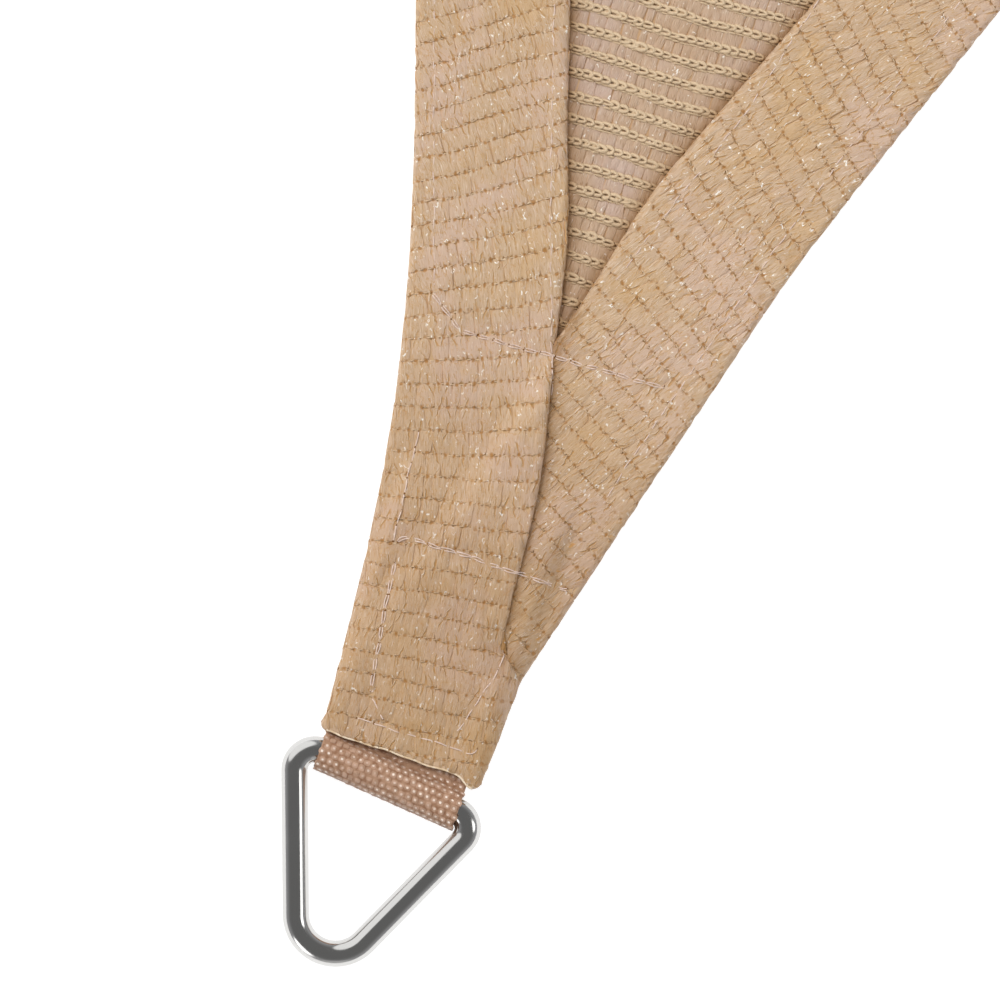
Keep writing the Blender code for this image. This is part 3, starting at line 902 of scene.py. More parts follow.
        # Painted shade in the fine openings between the tape's fibrils.
        gap_shade = math_node(tree, "MULTIPLY", ramp(tree, streak, 0.40, 0.30), 0.6)
        pinhole_shade, thread, slit_shade, lit_side = self.stitch_marks(tree, knit)
        shaded = mixed(tree, math_node(tree, "MAXIMUM", gap_shade, slit_shade), body, linear(self.slit_shade))
        shaded = mixed(tree, edge, shaded, linear(self.rim_shade_colour))
        squeeze = {0: knit, 1: (1.6, 0.7, 1.0)}
        cells = add_node(tree, "ShaderNodeVectorMath", squeeze, operation="MULTIPLY").outputs[0]
        folds = self.noise(tree, cells, 900.0, 1.0)
        # Painted shade along the film's crooked folds.
        fold_shade = math_node(tree, "MULTIPLY", self.crooked(tree, folds, 0.40, 0.03), 0.5 * self.marked)
        shaded = mixed(tree, fold_shade, shaded, linear(self.slit_shade))
        # Pale share: the real thread between the pinholes, and the painted highlight beside the slits.
        pale_share = math_node(tree, "MAXIMUM", thread, lit_side)
        shaded = mixed(tree, pale_share, shaded, linear(self.thread))
        # Painted shade in the pinholes.
        shaded = mixed(tree, pinhole_shade, shaded, linear(self.pinhole_shade))
        # Painted glints: short crooked highlights, in patches.
        short = math_node(tree, "MULTIPLY", ramp(tree, self.noise(tree, whole, 1300.0, 0.0), 0.60, 0.68),
                          ramp(tree, mottle, 0.50, 0.60))
        glint = math_node(tree, "MULTIPLY", self.crooked(tree, folds, 0.55, 0.05), short)
        shaded = mixed(tree, glint, shaded, linear(self.painted_light))
        pick = add_node(tree, "ShaderNodeAttribute", attribute_name="pick").outputs["Fac"]
        last = LOBES + PEBBLES
        shaded = mixed(tree, ramp(tree, pick, last - 0.6, last - 0.4), shaded, linear(self.thread))
        # Painted shade beside raised edges, in creases and over the strap's tails.
        backing = add_node(tree, "ShaderNodeAttribute", attribute_name="backing").outputs["Fac"]
        shaded = mixed(tree, math_node(tree, "MULTIPLY", backing, 0.8), shaded, linear(self.shade_colour))
        fill(
            shader,
            {"Base Color": shaded, "Roughness": self.roughness, "Specular IOR Level": 0.45},
        )
        sunk = math_node(tree, "MAXIMUM", pinhole_shade, slit_shade)
        relief = math_node(tree, "MULTIPLY_ADD", sunk, -0.8, math_node(tree, "ADD", streak, mottle))
        relief = math_node(tree, "MULTIPLY_ADD", pale_share, 0.7, relief)
        bump = add_node(tree, "ShaderNodeBump", {"Strength": 0.8, "Distance": 0.20 * MM, "Height": relief})
        tree.links.new(bump.outputs[0], shader.inputs["Normal"])
        return made


@dataclass(frozen=True)
class KnitGround:
    """The cloth itself, warp-knitted of polyethylene tape: the base under the raised knit.

    Where the knit is raised, the eye gets only the golden-brown dusk between its tapes. Elsewhere
    it gets the knit as a pattern: rows of loops with tapes between them, at their real pitch, with
    painted shade in the slits between the tapes and in the loops' holes.
    """

    name: str
    row_pitch: float
    stitch: float
    shade: str = "c8a57e"
    dusk: str = "a07a48"
    pale: str = "caac8e"
    deep: str = "be9f81"
    line: str = "d4bb9c"
    roughness: float = 0.6

    def build(self) -> bpy.types.Material:
        """Builds the material."""
        made, tree, shader = new_material(self.name)
        place = add_node(tree, "ShaderNodeUVMap", uv_map="cloth").outputs[0]
        split = add_node(tree, "ShaderNodeSeparateXYZ", {0: place})
        rows = math_node(tree, "DIVIDE", split.outputs["Y"], self.row_pitch * MM)
        stitches = math_node(tree, "DIVIDE", split.outputs["X"], self.stitch * MM)

        def off_middle(steps: Socket) -> Socket:
            """How far a place is from the middle of its step, 0 to 0.5."""
            gone = math_node(tree, "SUBTRACT", math_node(tree, "FRACT", steps), 0.5)
            return math_node(tree, "ABSOLUTE", gone)

        row_share = off_middle(rows)
        parity = math_node(tree, "MULTIPLY", math_node(tree, "FLOOR", rows), 0.5)
        staggered = math_node(tree, "ADD", math_node(tree, "MULTIPLY", stitches, 0.5), parity)
        slits = ramp(tree, off_middle(staggered), 0.42, 0.5)
        on_line = ramp(tree, row_share, 0.36, 0.46)
        loops = off_middle(stitches)
        hole = math_node(tree, "MULTIPLY", ramp(tree, loops, 0.28, 0.14), ramp(tree, row_share, 0.42, 0.49))
        broad = add_node(
            tree, "ShaderNodeTexNoise", {"Vector": place, "Scale": 45.0, "Detail": 3.0}
        ).outputs["Fac"]
        body = mixed(tree, ramp(tree, broad, 0.3, 0.7), linear(self.deep), linear(self.pale))
        body = mixed(tree, math_node(tree, "MULTIPLY", on_line, 0.6), body, linear(self.line))
        # Painted shade in the slits between the tapes.
        body = mixed(tree, math_node(tree, "MULTIPLY", slits, 0.35), body, linear(self.shade))
        # Painted shade under the raised knit, where only the openings between its tapes show.
        cover = add_node(tree, "ShaderNodeAttribute", attribute_name="cover").outputs["Fac"]
        body = mixed(tree, cover, body, linear(self.shade))
        # Painted shade in the loops' holes.
        colour = mixed(tree, math_node(tree, "MULTIPLY", hole, 0.8), body, linear(self.dusk))
        fill(
            shader,
            {"Base Color": colour, "Roughness": self.roughness, "Specular IOR Level": 0.35},
        )
        relief = math_node(tree, "SUBTRACT", 1.0, math_node(tree, "MAXIMUM", slits, hole))
        bump = add_node(
            tree, "ShaderNodeBump", {"Strength": 0.5, "Distance": 0.25 * MM, "Height": relief}
        )
        tree.links.new(bump.outputs[0], shader.inputs["Normal"])
        return made


@dataclass(frozen=True)
class YarnFinish:
    """Spun or filament yarn: matt with a soft bright edge, slightly uneven in tone, and where a crown
    colour is given, a painted highlight on each float's crown.
    """

    name: str
    pale: str
    deep: str
    roughness: float = 0.7
    sheen: float = 0.15
    crown: str = ""

    def build(self) -> bpy.types.Material:
        """Builds the material."""
        made, tree, shader = new_material(self.name)
        place = add_node(tree, "ShaderNodeTexCoord").outputs["Object"]
        fine = add_node(
            tree, "ShaderNodeTexNoise", {"Vector": place, "Scale": 900.0, "Detail": 2.0}
        ).outputs["Fac"]
        colour = mixed(tree, ramp(tree, fine, 0.35, 0.65), linear(self.deep), linear(self.pale))
        # Painted highlight on the crown of each float, in patches.
        if self.crown:
            rim = add_node(tree, "ShaderNodeAttribute", attribute_name="rim").outputs["Fac"]
            tone = add_node(tree, "ShaderNodeAttribute", attribute_name="tone").outputs["Fac"]
            highlight_patches = add_node(tree, "ShaderNodeTexNoise", {"Vector": place, "Scale": 190.0}).outputs["Fac"]
            lit = math_node(tree, "MULTIPLY", ramp(tree, tone, -0.6, 0.6), ramp(tree, highlight_patches, 0.32, 0.56))
            share = math_node(tree, "MULTIPLY", ramp(tree, rim, 0.06, 0.0), lit)
            colour = mixed(tree, share, colour, linear(self.crown))
        fill(
            shader,
            {"Base Color": colour, "Roughness": self.roughness, "Sheen Weight": self.sheen},
        )
        bump = add_node(tree, "ShaderNodeBump", {"Strength": 0.4, "Distance": 0.06 * MM, "Height": fine})
        tree.links.new(bump.outputs[0], shader.inputs["Normal"])
        return made


@dataclass(frozen=True)
class SteelFinish:
    """Stainless wire, drawn and polished: a clear mirror with the faintest haze along it."""

    name: str = "polished_stainless_wire"
    colour: str = "d3d2d0"
    roughness: float = 0.13

    def build(self) -> bpy.types.Material:
        """Builds the material."""
        made, tree, shader = new_material(self.name)
        place = add_node(tree, "ShaderNodeTexCoord").outputs["Object"]
        haze = add_node(
            tree, "ShaderNodeTexNoise", {"Vector": place, "Scale": 260.0, "Detail": 3.0}
        ).outputs["Fac"]
        rough = add_node(
            tree,
            "ShaderNodeMapRange",
            {"Value": haze, "From Min": 0.3, "From Max": 0.7, "To Min": 0.8 * self.roughness,
             "To Max": 1.4 * self.roughness},
        ).outputs[0]
        fill(shader, {"Roughness": rough, "Base Color": linear(self.colour), "Metallic": 1.0})
        return made


@dataclass(frozen=True)
class PlainFinish:
    """A plain even finish, for the studio floor and the dusk in a needle hole."""

    name: str
    colour: str
    roughness: float = 0.9
    glow: float = 0.0

    def build(self) -> bpy.types.Material:
        """Builds the material."""
        made, _, shader = new_material(self.name)
        inputs = {
            "Base Color": linear(self.colour),
            "Roughness": self.roughness,
            "Specular IOR Level": 0.2,
            "Emission Color": (1.0, 1.0, 1.0, 1.0),
            "Emission Strength": self.glow,
        }
        fill(shader, inputs)
        return made


# The raised knit


@dataclass(frozen=True)
class Lattice:
    """Where the stitches of the flat cloth are: rows of loops run nearly along the sail's X."""

    row_pitch: float = ROW_PITCH
    stitch: float = STITCH
    turn: float = math.radians(1.8)

    def along(self, plan: Array) -> Array:
        """Rows of (along the rows, across them) of plan points."""
        c, s = math.cos(self.turn), math.sin(self.turn)
        return np.column_stack([plan @ np.array([c, s]), plan @ np.array([-s, c])])

    def plan(self, flat: Array) -> Array:
        """The other way round: plan points of (along, across)."""
        c, s = math.cos(self.turn), math.sin(self.turn)
        return flat @ np.array([[c, s], [-s, c]])

    def wander(self, flat: Array) -> Array:
        """How far the stitches stray from their straight rows, as real stitches do."""
        x, y = flat[:, 0], flat[:, 1]
        along = 0.22 * np.sin(y / 2.9 + 1.7 * np.sin(x / 7.3)) + 0.10 * np.sin(x / 1.3 + y)
        across = 0.26 * np.sin(x / 4.7 + 1.3 * np.sin(y / 9.1)) + 0.10 * np.sin(x / 1.7 + 2.1 * y)
        return np.column_stack([along, across])

    def nodes(self, low: Array, high: Array) -> tuple[Array, Array]:
        """Lists the stitches between two corners of a flat box.

        Args:
            low: The box's lowest corner.
            high: The box's highest corner.

        Returns:
            The stitches' flat places, and their (row, stitch) numbers.
        """
        rows = np.arange(math.floor(low[1] / self.row_pitch), math.ceil(high[1] / self.row_pitch) + 1)
        stitches = np.arange(math.floor(low[0] / self.stitch), math.ceil(high[0] / self.stitch) + 1)
        row, stitch = (n.ravel() for n in np.meshgrid(rows, stitches, indexing="ij"))
        return np.column_stack([stitch * self.stitch, row * self.row_pitch]), np.column_stack([row, stitch])


LATTICE = Lattice()
NEAR_CORNER = 330.0  # how much of the long lines a corner's knit is laid along
FOLD_PAST = 45.0  # how far a fold's line runs on past the tips
HIDDEN_BEYOND = 4.5  # how far the knit goes in under a higher layer


@dataclass(frozen=True)
class Shape:
    """A small closed shape: its points in millimetres, its faces, and how near the rim each is."""

    points: Array
    faces: list[tuple[int, ...]]
    rim: Array


@dataclass(frozen=True)
class Pad:
    """A tape's pebble: a low cushion with straight sides, rounded corners and notched ends.

    Sizes are in millimetres; the notch is a share of half the length, and lean is how far the
    pebble slants for each millimetre of its length. Its foot goes down between its neighbours.
    Its outline swells and shrinks by the share ripple, three times round, from the angle phase.
    """

    width: float
    length: float
    height: float
    notch: float = 0.0
    lean: float = 0.0
    foot: float = 0.24
    crown: float = 0.82
    corner: tuple = ((0.99, 0.46), (0.88, 0.80), (0.56, 0.98))
    ripple: float = 0.0
    phase: float = 0.0

    def outline(self) -> Array:
        """The pebble's outline, counter-clockwise."""
        quarter = [*self.corner, (0.17, 0.97)] if self.notch else list(self.corner)
        half = [(1.0, 0.0), *quarter, *([(0.0, 1 - self.notch)] if self.notch else [])]
        half += [(-x, y) for x, y in reversed(quarter)]
        whole = np.array(half + [(-x, -y) for x, y in half])
        angle = np.arctan2(whole[:, 1], whole[:, 0])
        whole = whole * (1 + self.ripple * np.sin(3 * angle + self.phase))[:, None]
        x, y = whole[:, 0] * self.width / 2, whole[:, 1] * self.length / 2
        return np.column_stack([x + self.lean * y, y])

    def shape(self) -> Shape:
        """Builds the pebble as a closed shape."""
        plan = self.outline()
        sides = len(plan)
        rings = (
            (1.0, -self.foot, 1.0),
            (0.985, 0.4 * self.height, 0.3),
            (self.crown, 0.92 * self.height, 0.0),
        )
        points = [np.column_stack([plan * scale, np.full(sides, z)]) for scale, z, _ in rings]
        points.append(np.array([[0, 0, self.height]]))
        rim = np.append(np.repeat([near for _, _, near in rings], sides), 0.0)
        faces = [tuple(range(sides))[::-1]]
        for low in (0, sides):
            for i in range(sides):
                after = (i + 1) % sides
                faces.append((low + i, low + after, low + sides + after, low + sides + i))
        faces += [(2 * sides + i, 2 * sides + (i + 1) % sides, 3 * sides) for i in range(sides)]
        return Shape(np.vstack(points), faces, rim)


def tube_shape(path: Array, radius: float, sides: int, closed: bool) -> Shape:
    """Makes a round tube along a path.

    Args:
        path: The middle line's points.
        radius: The tube's radius.
        sides: How many sides it has.
        closed: Whether the path closes on itself.

    Returns:
        The shape, its ends capped where it is open.
    """
    if closed:
        way = unit(np.roll(path, -1, axis=0) - np.roll(path, 1, axis=0))
    else:
        way = unit(np.gradient(path, axis=0))
    side = unit(np.cross(way, np.array([0.0, 0.0, 1.0])))
    up = np.cross(side, way)
    angles = 2 * math.pi * np.arange(sides) / sides
    ring = np.cos(angles)[None, :, None] * side[:, None] + np.sin(angles)[None, :, None] * up[:, None]
    points = (path[:, None] + radius * ring).reshape(-1, 3)
    faces = []
    count = len(path)
    for i in range(count if closed else count - 1):
        low, high = i * sides, (i + 1) % count * sides
        for j in range(sides):
            after = (j + 1) % sides
            faces.append((low + after, low + j, high + j, high + after))
    if not closed:
        faces += [tuple(range(sides)), tuple((count - 1) * sides + i for i in range(sides))[::-1]]
    return Shape(points, faces, np.zeros(len(points)))


def thread_shape(length: float, radius: float, rise: float) -> Shape:
    """A short bridge of tape or yarn that bows up between its ends."""
    t = np.linspace(-1, 1, 5)
    path = np.column_stack([t * length / 2, np.zeros(5), rise * (1 - t**2) - 0.15])
    return tube_shape(path, radius, 4, closed=False)


def loop_shape(length: float, width: float, radius: float, height: float) -> Shape:
    """One loop of a chain: an oval ring that leans along its row."""
    angles = 2 * math.pi * np.arange(10) / 10
    x, y = length / 2 * np.cos(angles), width / 2 * np.sin(angles)
    path = np.column_stack([x, y, height + 0.2 * x / length * 2])
    return tube_shape(path, radius, 6, closed=True)


@dataclass(frozen=True)
class Units:
    """A set of small shapes that a layer of knit is made of, in the order of their numbers."""

    name: str
    shapes: tuple[Shape, ...]

    def build(self) -> bpy.types.Collection:
        """Builds the shapes as objects in a collection of their own, out of the scene."""
        home = bpy.data.collections.new(self.name)
        for number, shape in enumerate(self.shapes):
            mesh = mesh_from(f"{self.name}_{number:02d}", shape.points, shape.faces)
            set_value(mesh, "rim", shape.rim)
            if shape.rim.any():
                mesh.set_sharp_from_angle(angle=math.radians(45))
            home.objects.link(bpy.data.objects.new(mesh.name, mesh))
        return home


LOBES = 5
PEBBLES = 8


def pads(
    rng: np.random.Generator,
    number: int,
    width: float,
    length: float,
    notch: float,
    rise: tuple[float, float],
) -> list[Shape]:
    """Makes pebbles of about one size, each a little different.

    Args:
        rng: The source of chance.
        number: How many.
        width: Their usual width.
        length: Their usual length.
        notch: Their usual notch.
        rise: Their least and greatest height.

    Returns:
        The shapes.
    """
    made = []
    for _ in range(number):
        size = rng.uniform(0.95, 1.03, 2)
        height, lean = rng.uniform(*rise), rng.uniform(-0.12, 0.12)
        pad = Pad(
            width * size[0],
            length * size[1],
            height,
            notch * rng.uniform(0.7, 1.3),
            lean,
            ripple=0.05,
            phase=rng.uniform(0, 6.28),
        )
        made.append(pad.shape())
    return made


def tape_units() -> Units:
    """The tape side's shapes: lobes over one stitch, pebbles over two, and the row's thread."""
    rng = np.random.default_rng(8)
    lobes = pads(rng, LOBES, 2.06, 4.66, 0.0, (0.08, 0.17))
    pebbles = pads(rng, PEBBLES, 3.82, 4.72, 0.22, (0.08, 0.18))
    return Units("tape_unit", (*lobes, *pebbles, thread_shape(1.02, 0.11, 0.20)))


def chain_units() -> Units:
    """The chain side's shapes: the tape's ribs, a leaning loop and the chain's second line."""
    rng = np.random.default_rng(9)
    lobes = pads(rng, LOBES, 1.80, 4.20, 0.0, (0.06, 0.18))
    pebbles = pads(rng, PEBBLES, 3.50, 4.20, 0.10, (0.06, 0.18))
    chain = (loop_shape(2.2, 0.96, 0.37, 0.32), thread_shape(1.9, 0.27, 0.34))
    return Units("chain_unit", (*lobes, *pebbles, *chain))


def geometry_tree(name: str, sockets: tuple[tuple, ...]) -> tuple[bpy.types.NodeTree, dict]:
    """Starts a Geometry Nodes tree.

    Args:
        name: Its name.
        sockets: Each input's name, the kind of its socket, and its value or none.

    Returns:
        The tree and its inputs, by name.
    """
    tree = bpy.data.node_groups.new(name, "GeometryNodeTree")
    for label, kind, default in (("Geometry", "Geometry", None), *sockets):
        socket = tree.interface.new_socket(label, in_out="INPUT", socket_type=f"NodeSocket{kind}")
        if default is not None:
            socket.default_value = default
    tree.interface.new_socket("Geometry", in_out="OUTPUT", socket_type="NodeSocketGeometry")
    return tree, add_node(tree, "NodeGroupInput").outputs


def unit_points(name: str, places: Array, picks: Array, stretches: Array) -> bpy.types.Mesh:
    """Makes the points on which a tree sets small shapes out.

    Args:
        name: The name of what they become.
        places: Their flat places in millimetres.
        picks: Each point's shape, by its number.
        stretches: How far each shape is stretched in each way.

    Returns:
        The points as a mesh.
    """
    mesh = bpy.data.meshes.new(f"{name}_points")
    flat = np.column_stack([places, np.zeros(len(places))])
    mesh.from_pydata((flat * MM).tolist(), [], [])
    pick = mesh.attributes.new("pick", "INT", "POINT")
    pick.data.foreach_set("value", picks.astype(np.int32))
    stretch = mesh.attributes.new("stretch", "FLOAT_VECTOR", "POINT")
    stretch.data.foreach_set("vector", stretches.astype(np.float32).ravel())
    return mesh


def relief_tree() -> bpy.types.NodeTree:
    """Builds the Geometry Nodes that set a knit's shapes out on its stitches.

    Returns:
        The tree. Its inputs are the stitches, the shapes' collection, the finish, how far a shape
        may be turned, moved and resized at random, and the seed.
    """
    sockets = (
        ("Units", "Collection", None),
        ("Finish", "Material", None),
        ("Turn", "Float", 0.09),
        ("Move", "Float", 0.07 * MM),
        ("Resize", "Float", 0.05),
        ("Seed", "Int", 1),
    )
    tree, given = geometry_tree("knit_relief", sockets)
    minus = {name: math_node(tree, "MULTIPLY", given[name], -1.0) for name in ("Turn", "Move", "Resize")}

    def around(low: Socket, high: Socket, shift: int) -> Socket:
        """A random vector between two numbers in each way but up, and half as far upwards."""
        halves = [math_node(tree, "MULTIPLY", way, 0.5) for way in (low, high)]
        ends = [
            add_node(tree, "ShaderNodeCombineXYZ", {0: half, 1: way, 2: half})
            for way, half in zip((low, high), halves)
        ]
        seed = math_node(tree, "ADD", given["Seed"], float(shift))
        inputs = {0: ends[0].outputs[0], 1: ends[1].outputs[0], "Seed": seed}
        return add_node(tree, "FunctionNodeRandomValue", inputs, data_type="FLOAT_VECTOR").outputs[0]

    moved = add_node(
        tree,
        "GeometryNodeSetPosition",
        {"Geometry": given["Geometry"], "Offset": around(minus["Move"], given["Move"], 11)},
    )
    shapes = add_node(
        tree,
        "GeometryNodeCollectionInfo",
        {"Collection": given["Units"], "Separate Children": True, "Reset Children": True},
    )
    pick = add_node(tree, "GeometryNodeInputNamedAttribute", {"Name": "pick"}, data_type="INT")
    stretch = add_node(
        tree, "GeometryNodeInputNamedAttribute", {"Name": "stretch"}, data_type="FLOAT_VECTOR"
    )
    vary = around(minus["Resize"], given["Resize"], 23)
    scale = add_node(tree, "ShaderNodeVectorMath", {0: live_output(stretch), 1: vary}).outputs[0]
    placed = add_node(
        tree,
        "GeometryNodeInstanceOnPoints",
        {
            "Points": moved.outputs[0],
            "Instance": shapes.outputs[0],
            "Pick Instance": True,
            "Instance Index": live_output(pick),
            "Rotation": around(minus["Turn"], given["Turn"], 37),
            "Scale": scale,
        },
    )
    tone = add_node(
        tree,
        "FunctionNodeRandomValue",
        {2: 0.0, 3: 1.0, "Seed": math_node(tree, "ADD", given["Seed"], 51.0)},
        data_type="FLOAT",
    )
    stored = add_node(
        tree,
        "GeometryNodeStoreNamedAttribute",
        {"Geometry": placed.outputs[0], "Name": "tone", "Value": live_output(tone)},
        data_type="FLOAT",
        domain="INSTANCE",
    )
    real = add_node(tree, "GeometryNodeRealizeInstances", {"Geometry": stored.outputs[0]})
    dressed = add_node(
        tree, "GeometryNodeSetMaterial", {"Geometry": real.outputs[0], "Material": given["Finish"]}
    )
    add_node(tree, "NodeGroupOutput", {"Geometry": dressed.outputs[0]})
    return tree


def run_nodes(name: str, mesh: bpy.types.Mesh, tree: bpy.types.NodeTree, settings: dict) -> bpy.types.Mesh:
    """Runs a Geometry Nodes tree on a mesh and keeps the result as a plain mesh.

    Args:
        name: The result's name.
        mesh: The mesh that goes in.
        tree: The tree.
        settings: A value for each of its named inputs.

    Returns:
        The plain mesh.
    """
    holder = new_object(f"{name}_points", mesh)
    modifier = holder.modifiers.new("nodes", "NODES")
    modifier.node_group = tree
    known = {item.name: item.identifier for item in tree.interface.items_tree if item.in_out == "INPUT"}
    for key, value in settings.items():
        modifier[known[key]] = value
    graph = bpy.context.evaluated_depsgraph_get()
    made = bpy.data.meshes.new_from_object(holder.evaluated_get(graph), depsgraph=graph)
    made.name = name
    bpy.data.objects.remove(holder)
    return made


@dataclass(frozen=True)
class KnitPatch:
    """A stretch of raised knit on one layer of a corner."""

    name: str
    corner: int
    layer: Layer
    reach: float
    fade: float = 26.0
    stand: float = 0.05

    def first_corner(self) -> int:
        """The corner at which this layer's hem starts."""
        return self.corner if self.layer is Layer.UPPER else self.corner - 1

    def near_part(self, line: Array) -> Array:
        """The part of a line of the plan that lies near this corner."""
        return line[PLAN.in_corner(self.corner, line)[:, 1] < NEAR_CORNER]

    def higher(self) -> list[tuple["KnitPatch", Array]]:
        """The layers that lie over this one, each with its inner edge near this corner."""
        found = []
        for layer in list(Layer)[self.layer.value + 1 :]:
            patch = KnitPatch("", self.corner, layer, self.reach)
            found.append((patch, self.near_part(PLAN.inner_line(patch.first_corner()))))
        return found

    def fold(self) -> Array | None:
        """The folded edge that this layer is turned over, in the plan, or none for the panel."""
        if self.layer is Layer.PANEL:
            return None
        line = PLAN.fold_line(self.first_corner(), past=FOLD_PAST)
        return eased(self.near_part(line), 7)

    def region(self) -> Array:
        """The layer's outline near this corner, counter-clockwise, in the plan."""
        loop = PLAN.hem_loop(self.first_corner())
        near = PLAN.in_corner(self.corner, loop)[:, 1] < NEAR_CORNER
        start = int(np.argmax(near & ~np.roll(near, 1)))
        loop = np.roll(loop, -start, axis=0)
        return loop[np.roll(near, -start)]

    def strength(self, plan: Array) -> Array:
        """1 where the knit stands at full height, 0 from its reach on."""
        inward = PLAN.in_corner(self.corner, plan)[:, 1]
        return 1 - smooth((inward - self.reach + self.fade) / self.fade)

    def shown(self, plan: Array, beyond: float) -> Array:
        """Tells which plan points aren't hidden by a higher layer by more than a distance.

        Args:
            plan: The points.
            beyond: How far under the higher layer they may go.

        Returns:
            True for the shown ones.
        """
        seen = np.ones(len(plan), bool)
        for patch, edge in self.higher():
            far = np.abs(beside(edge, plan).distance) > beyond
            seen &= ~(inside(patch.region(), plan) & far)
        return seen

    def stitches(self) -> tuple[Array, Array]:
        """Finds the flat cloth's stitches that end up on this layer.

        Returns:
            Their flat places and their (row, stitch) numbers.
        """
        corner_box = PLAN.placed(self.corner, [(-150, -70), (150, -70), (150, 230), (-150, 230)])
        flat = LATTICE.along(corner_box)
        places, numbers = LATTICE.nodes(flat.min(axis=0), flat.max(axis=0))
        plan = LATTICE.plan(places)
        fold = self.fold()
        if fold is not None:  # judged by the middle of its tape, half a row on
            plan = LATTICE.plan(places + np.array([0.0, LATTICE.row_pitch / 2]))
        if fold is None:
            keep = PLAN.in_corner(self.corner, plan)[:, 1] < self.reach
            keep[keep] &= inside(PLAN.outline(), plan[keep])
            keep[keep] &= self.shown(plan[keep], HIDDEN_BEYOND)
            return places[keep], numbers[keep]
        near = beside(fold, plan)
        keep = (near.distance > -3.0) & (near.distance < 42.0)
        folded = 2 * near.foot - plan
        keep &= PLAN.in_corner(self.corner, folded)[:, 1] < self.reach
        loop = self.region()
        rows = np.flatnonzero(keep)
        within = inside(loop, folded[rows])
        close = np.abs(beside(closed_line(loop), folded[rows]).distance) < 2.6
        close &= PLAN.in_corner(self.corner, folded[rows])[:, 1] > -1.7
        rows = rows[(within | close) & self.shown(folded[rows], HIDDEN_BEYOND)]
        return places[rows], numbers[rows]

    def deep(self, flat: Array, margin: float) -> Array:
        """Tells which flat points end up farther than a margin inside the hem's outline."""
        fold = self.fold()
        if fold is None:
            return np.ones(len(flat), bool)
        plan = LATTICE.plan(flat)
        plan = 2 * beside(fold, plan).foot - plan
        loop = self.region()
        far = np.abs(beside(closed_line(loop), plan).distance) > margin
        return inside(loop, plan) & far

    def backing(self, plan: Array) -> Array:
        """How much painted shade lies on the knit there, 0 to 1.

        It is darker over the strap's tails, and painted shade lies in creases and beside a hem's raised
        inner edge.

        Args:
            plan: Points of the plan.

        Returns:
            The shares.
        """
        inward = PLAN.in_corner(self.corner, plan)[:, 1]
        # Darker near the tip: on the hems over the strap's tails, on the panel up to where the hems meet.
        if self.layer is not Layer.PANEL:
            dark = 0.4 * (1 - smooth((inward - 25) / 75))
        else:
            dark = 0.5 * (1 - smooth((inward - 80) / 20))
        # Painted shade beside the raised inner edge of each higher layer.
        for _, edge in self.higher():
            dark = np.maximum(dark, np.exp(-np.abs(beside(edge, plan).distance) / 1.8))
        # Painted shade along the creases.
        places = PLAN.in_corner(self.corner, plan)
        return np.maximum(dark, np.max([painted_light.depth_at(*places.T) for painted_light in CREASE_SHADES], axis=0))

    def mapped(self, flat: Array) -> Array:
        """Folds points of the flat knit onto the layer.

        Args:
            flat: Points as rows of (along, across, height).

        Returns:
            The points in the sail's frame.
        """
        plan = LATTICE.plan(flat[:, :2])
        height = flat[:, 2]
        fold = self.fold()
        drop = np.zeros(len(plan))
        tilt = np.zeros((len(plan), 2))
        rise = np.ones(len(plan))
        if fold is not None:
            near = beside(fold, plan)
            plan = 2 * near.foot - plan
            loop = self.region()
            edge = beside(closed_line(loop), plan)
            depth = np.abs(edge.distance) * np.where(inside(loop, plan), 1.0, -1.0)
            places = PLAN.in_corner(self.corner, plan)
            radius = HEIGHTS.thickness(self.layer, *places.T) / 2
            angle = np.maximum(depth / radius, -math.pi / 2)
            turning = angle < math.pi / 2
            settled = 0.5708 * radius * (1 - smooth((depth - 1.5708 * radius) / 6))
            rim = edge.foot + edge.left * (radius * (1 - np.cos(angle)))[:, None]
            plan = np.where(turning[:, None], rim, plan - edge.left * settled[:, None])
            drop = np.where(turning, radius * (1 - np.sin(angle)), 0.0)
            tilt = np.where(turning, -np.cos(angle), 0.0)[:, None] * edge.left
            rise = np.where(turning, np.sin(angle), 1.0)
        places = PLAN.in_corner(self.corner, plan)
        lift = (height + self.stand) * self.strength(plan) * (0.3 + 0.7 * np.maximum(rise, 0)) - 0.02
        top = HEIGHTS.top(self.layer, *places.T) - HEIGHTS.sunk
        return np.column_stack([plan + tilt * lift[:, None], top - drop + rise * lift])


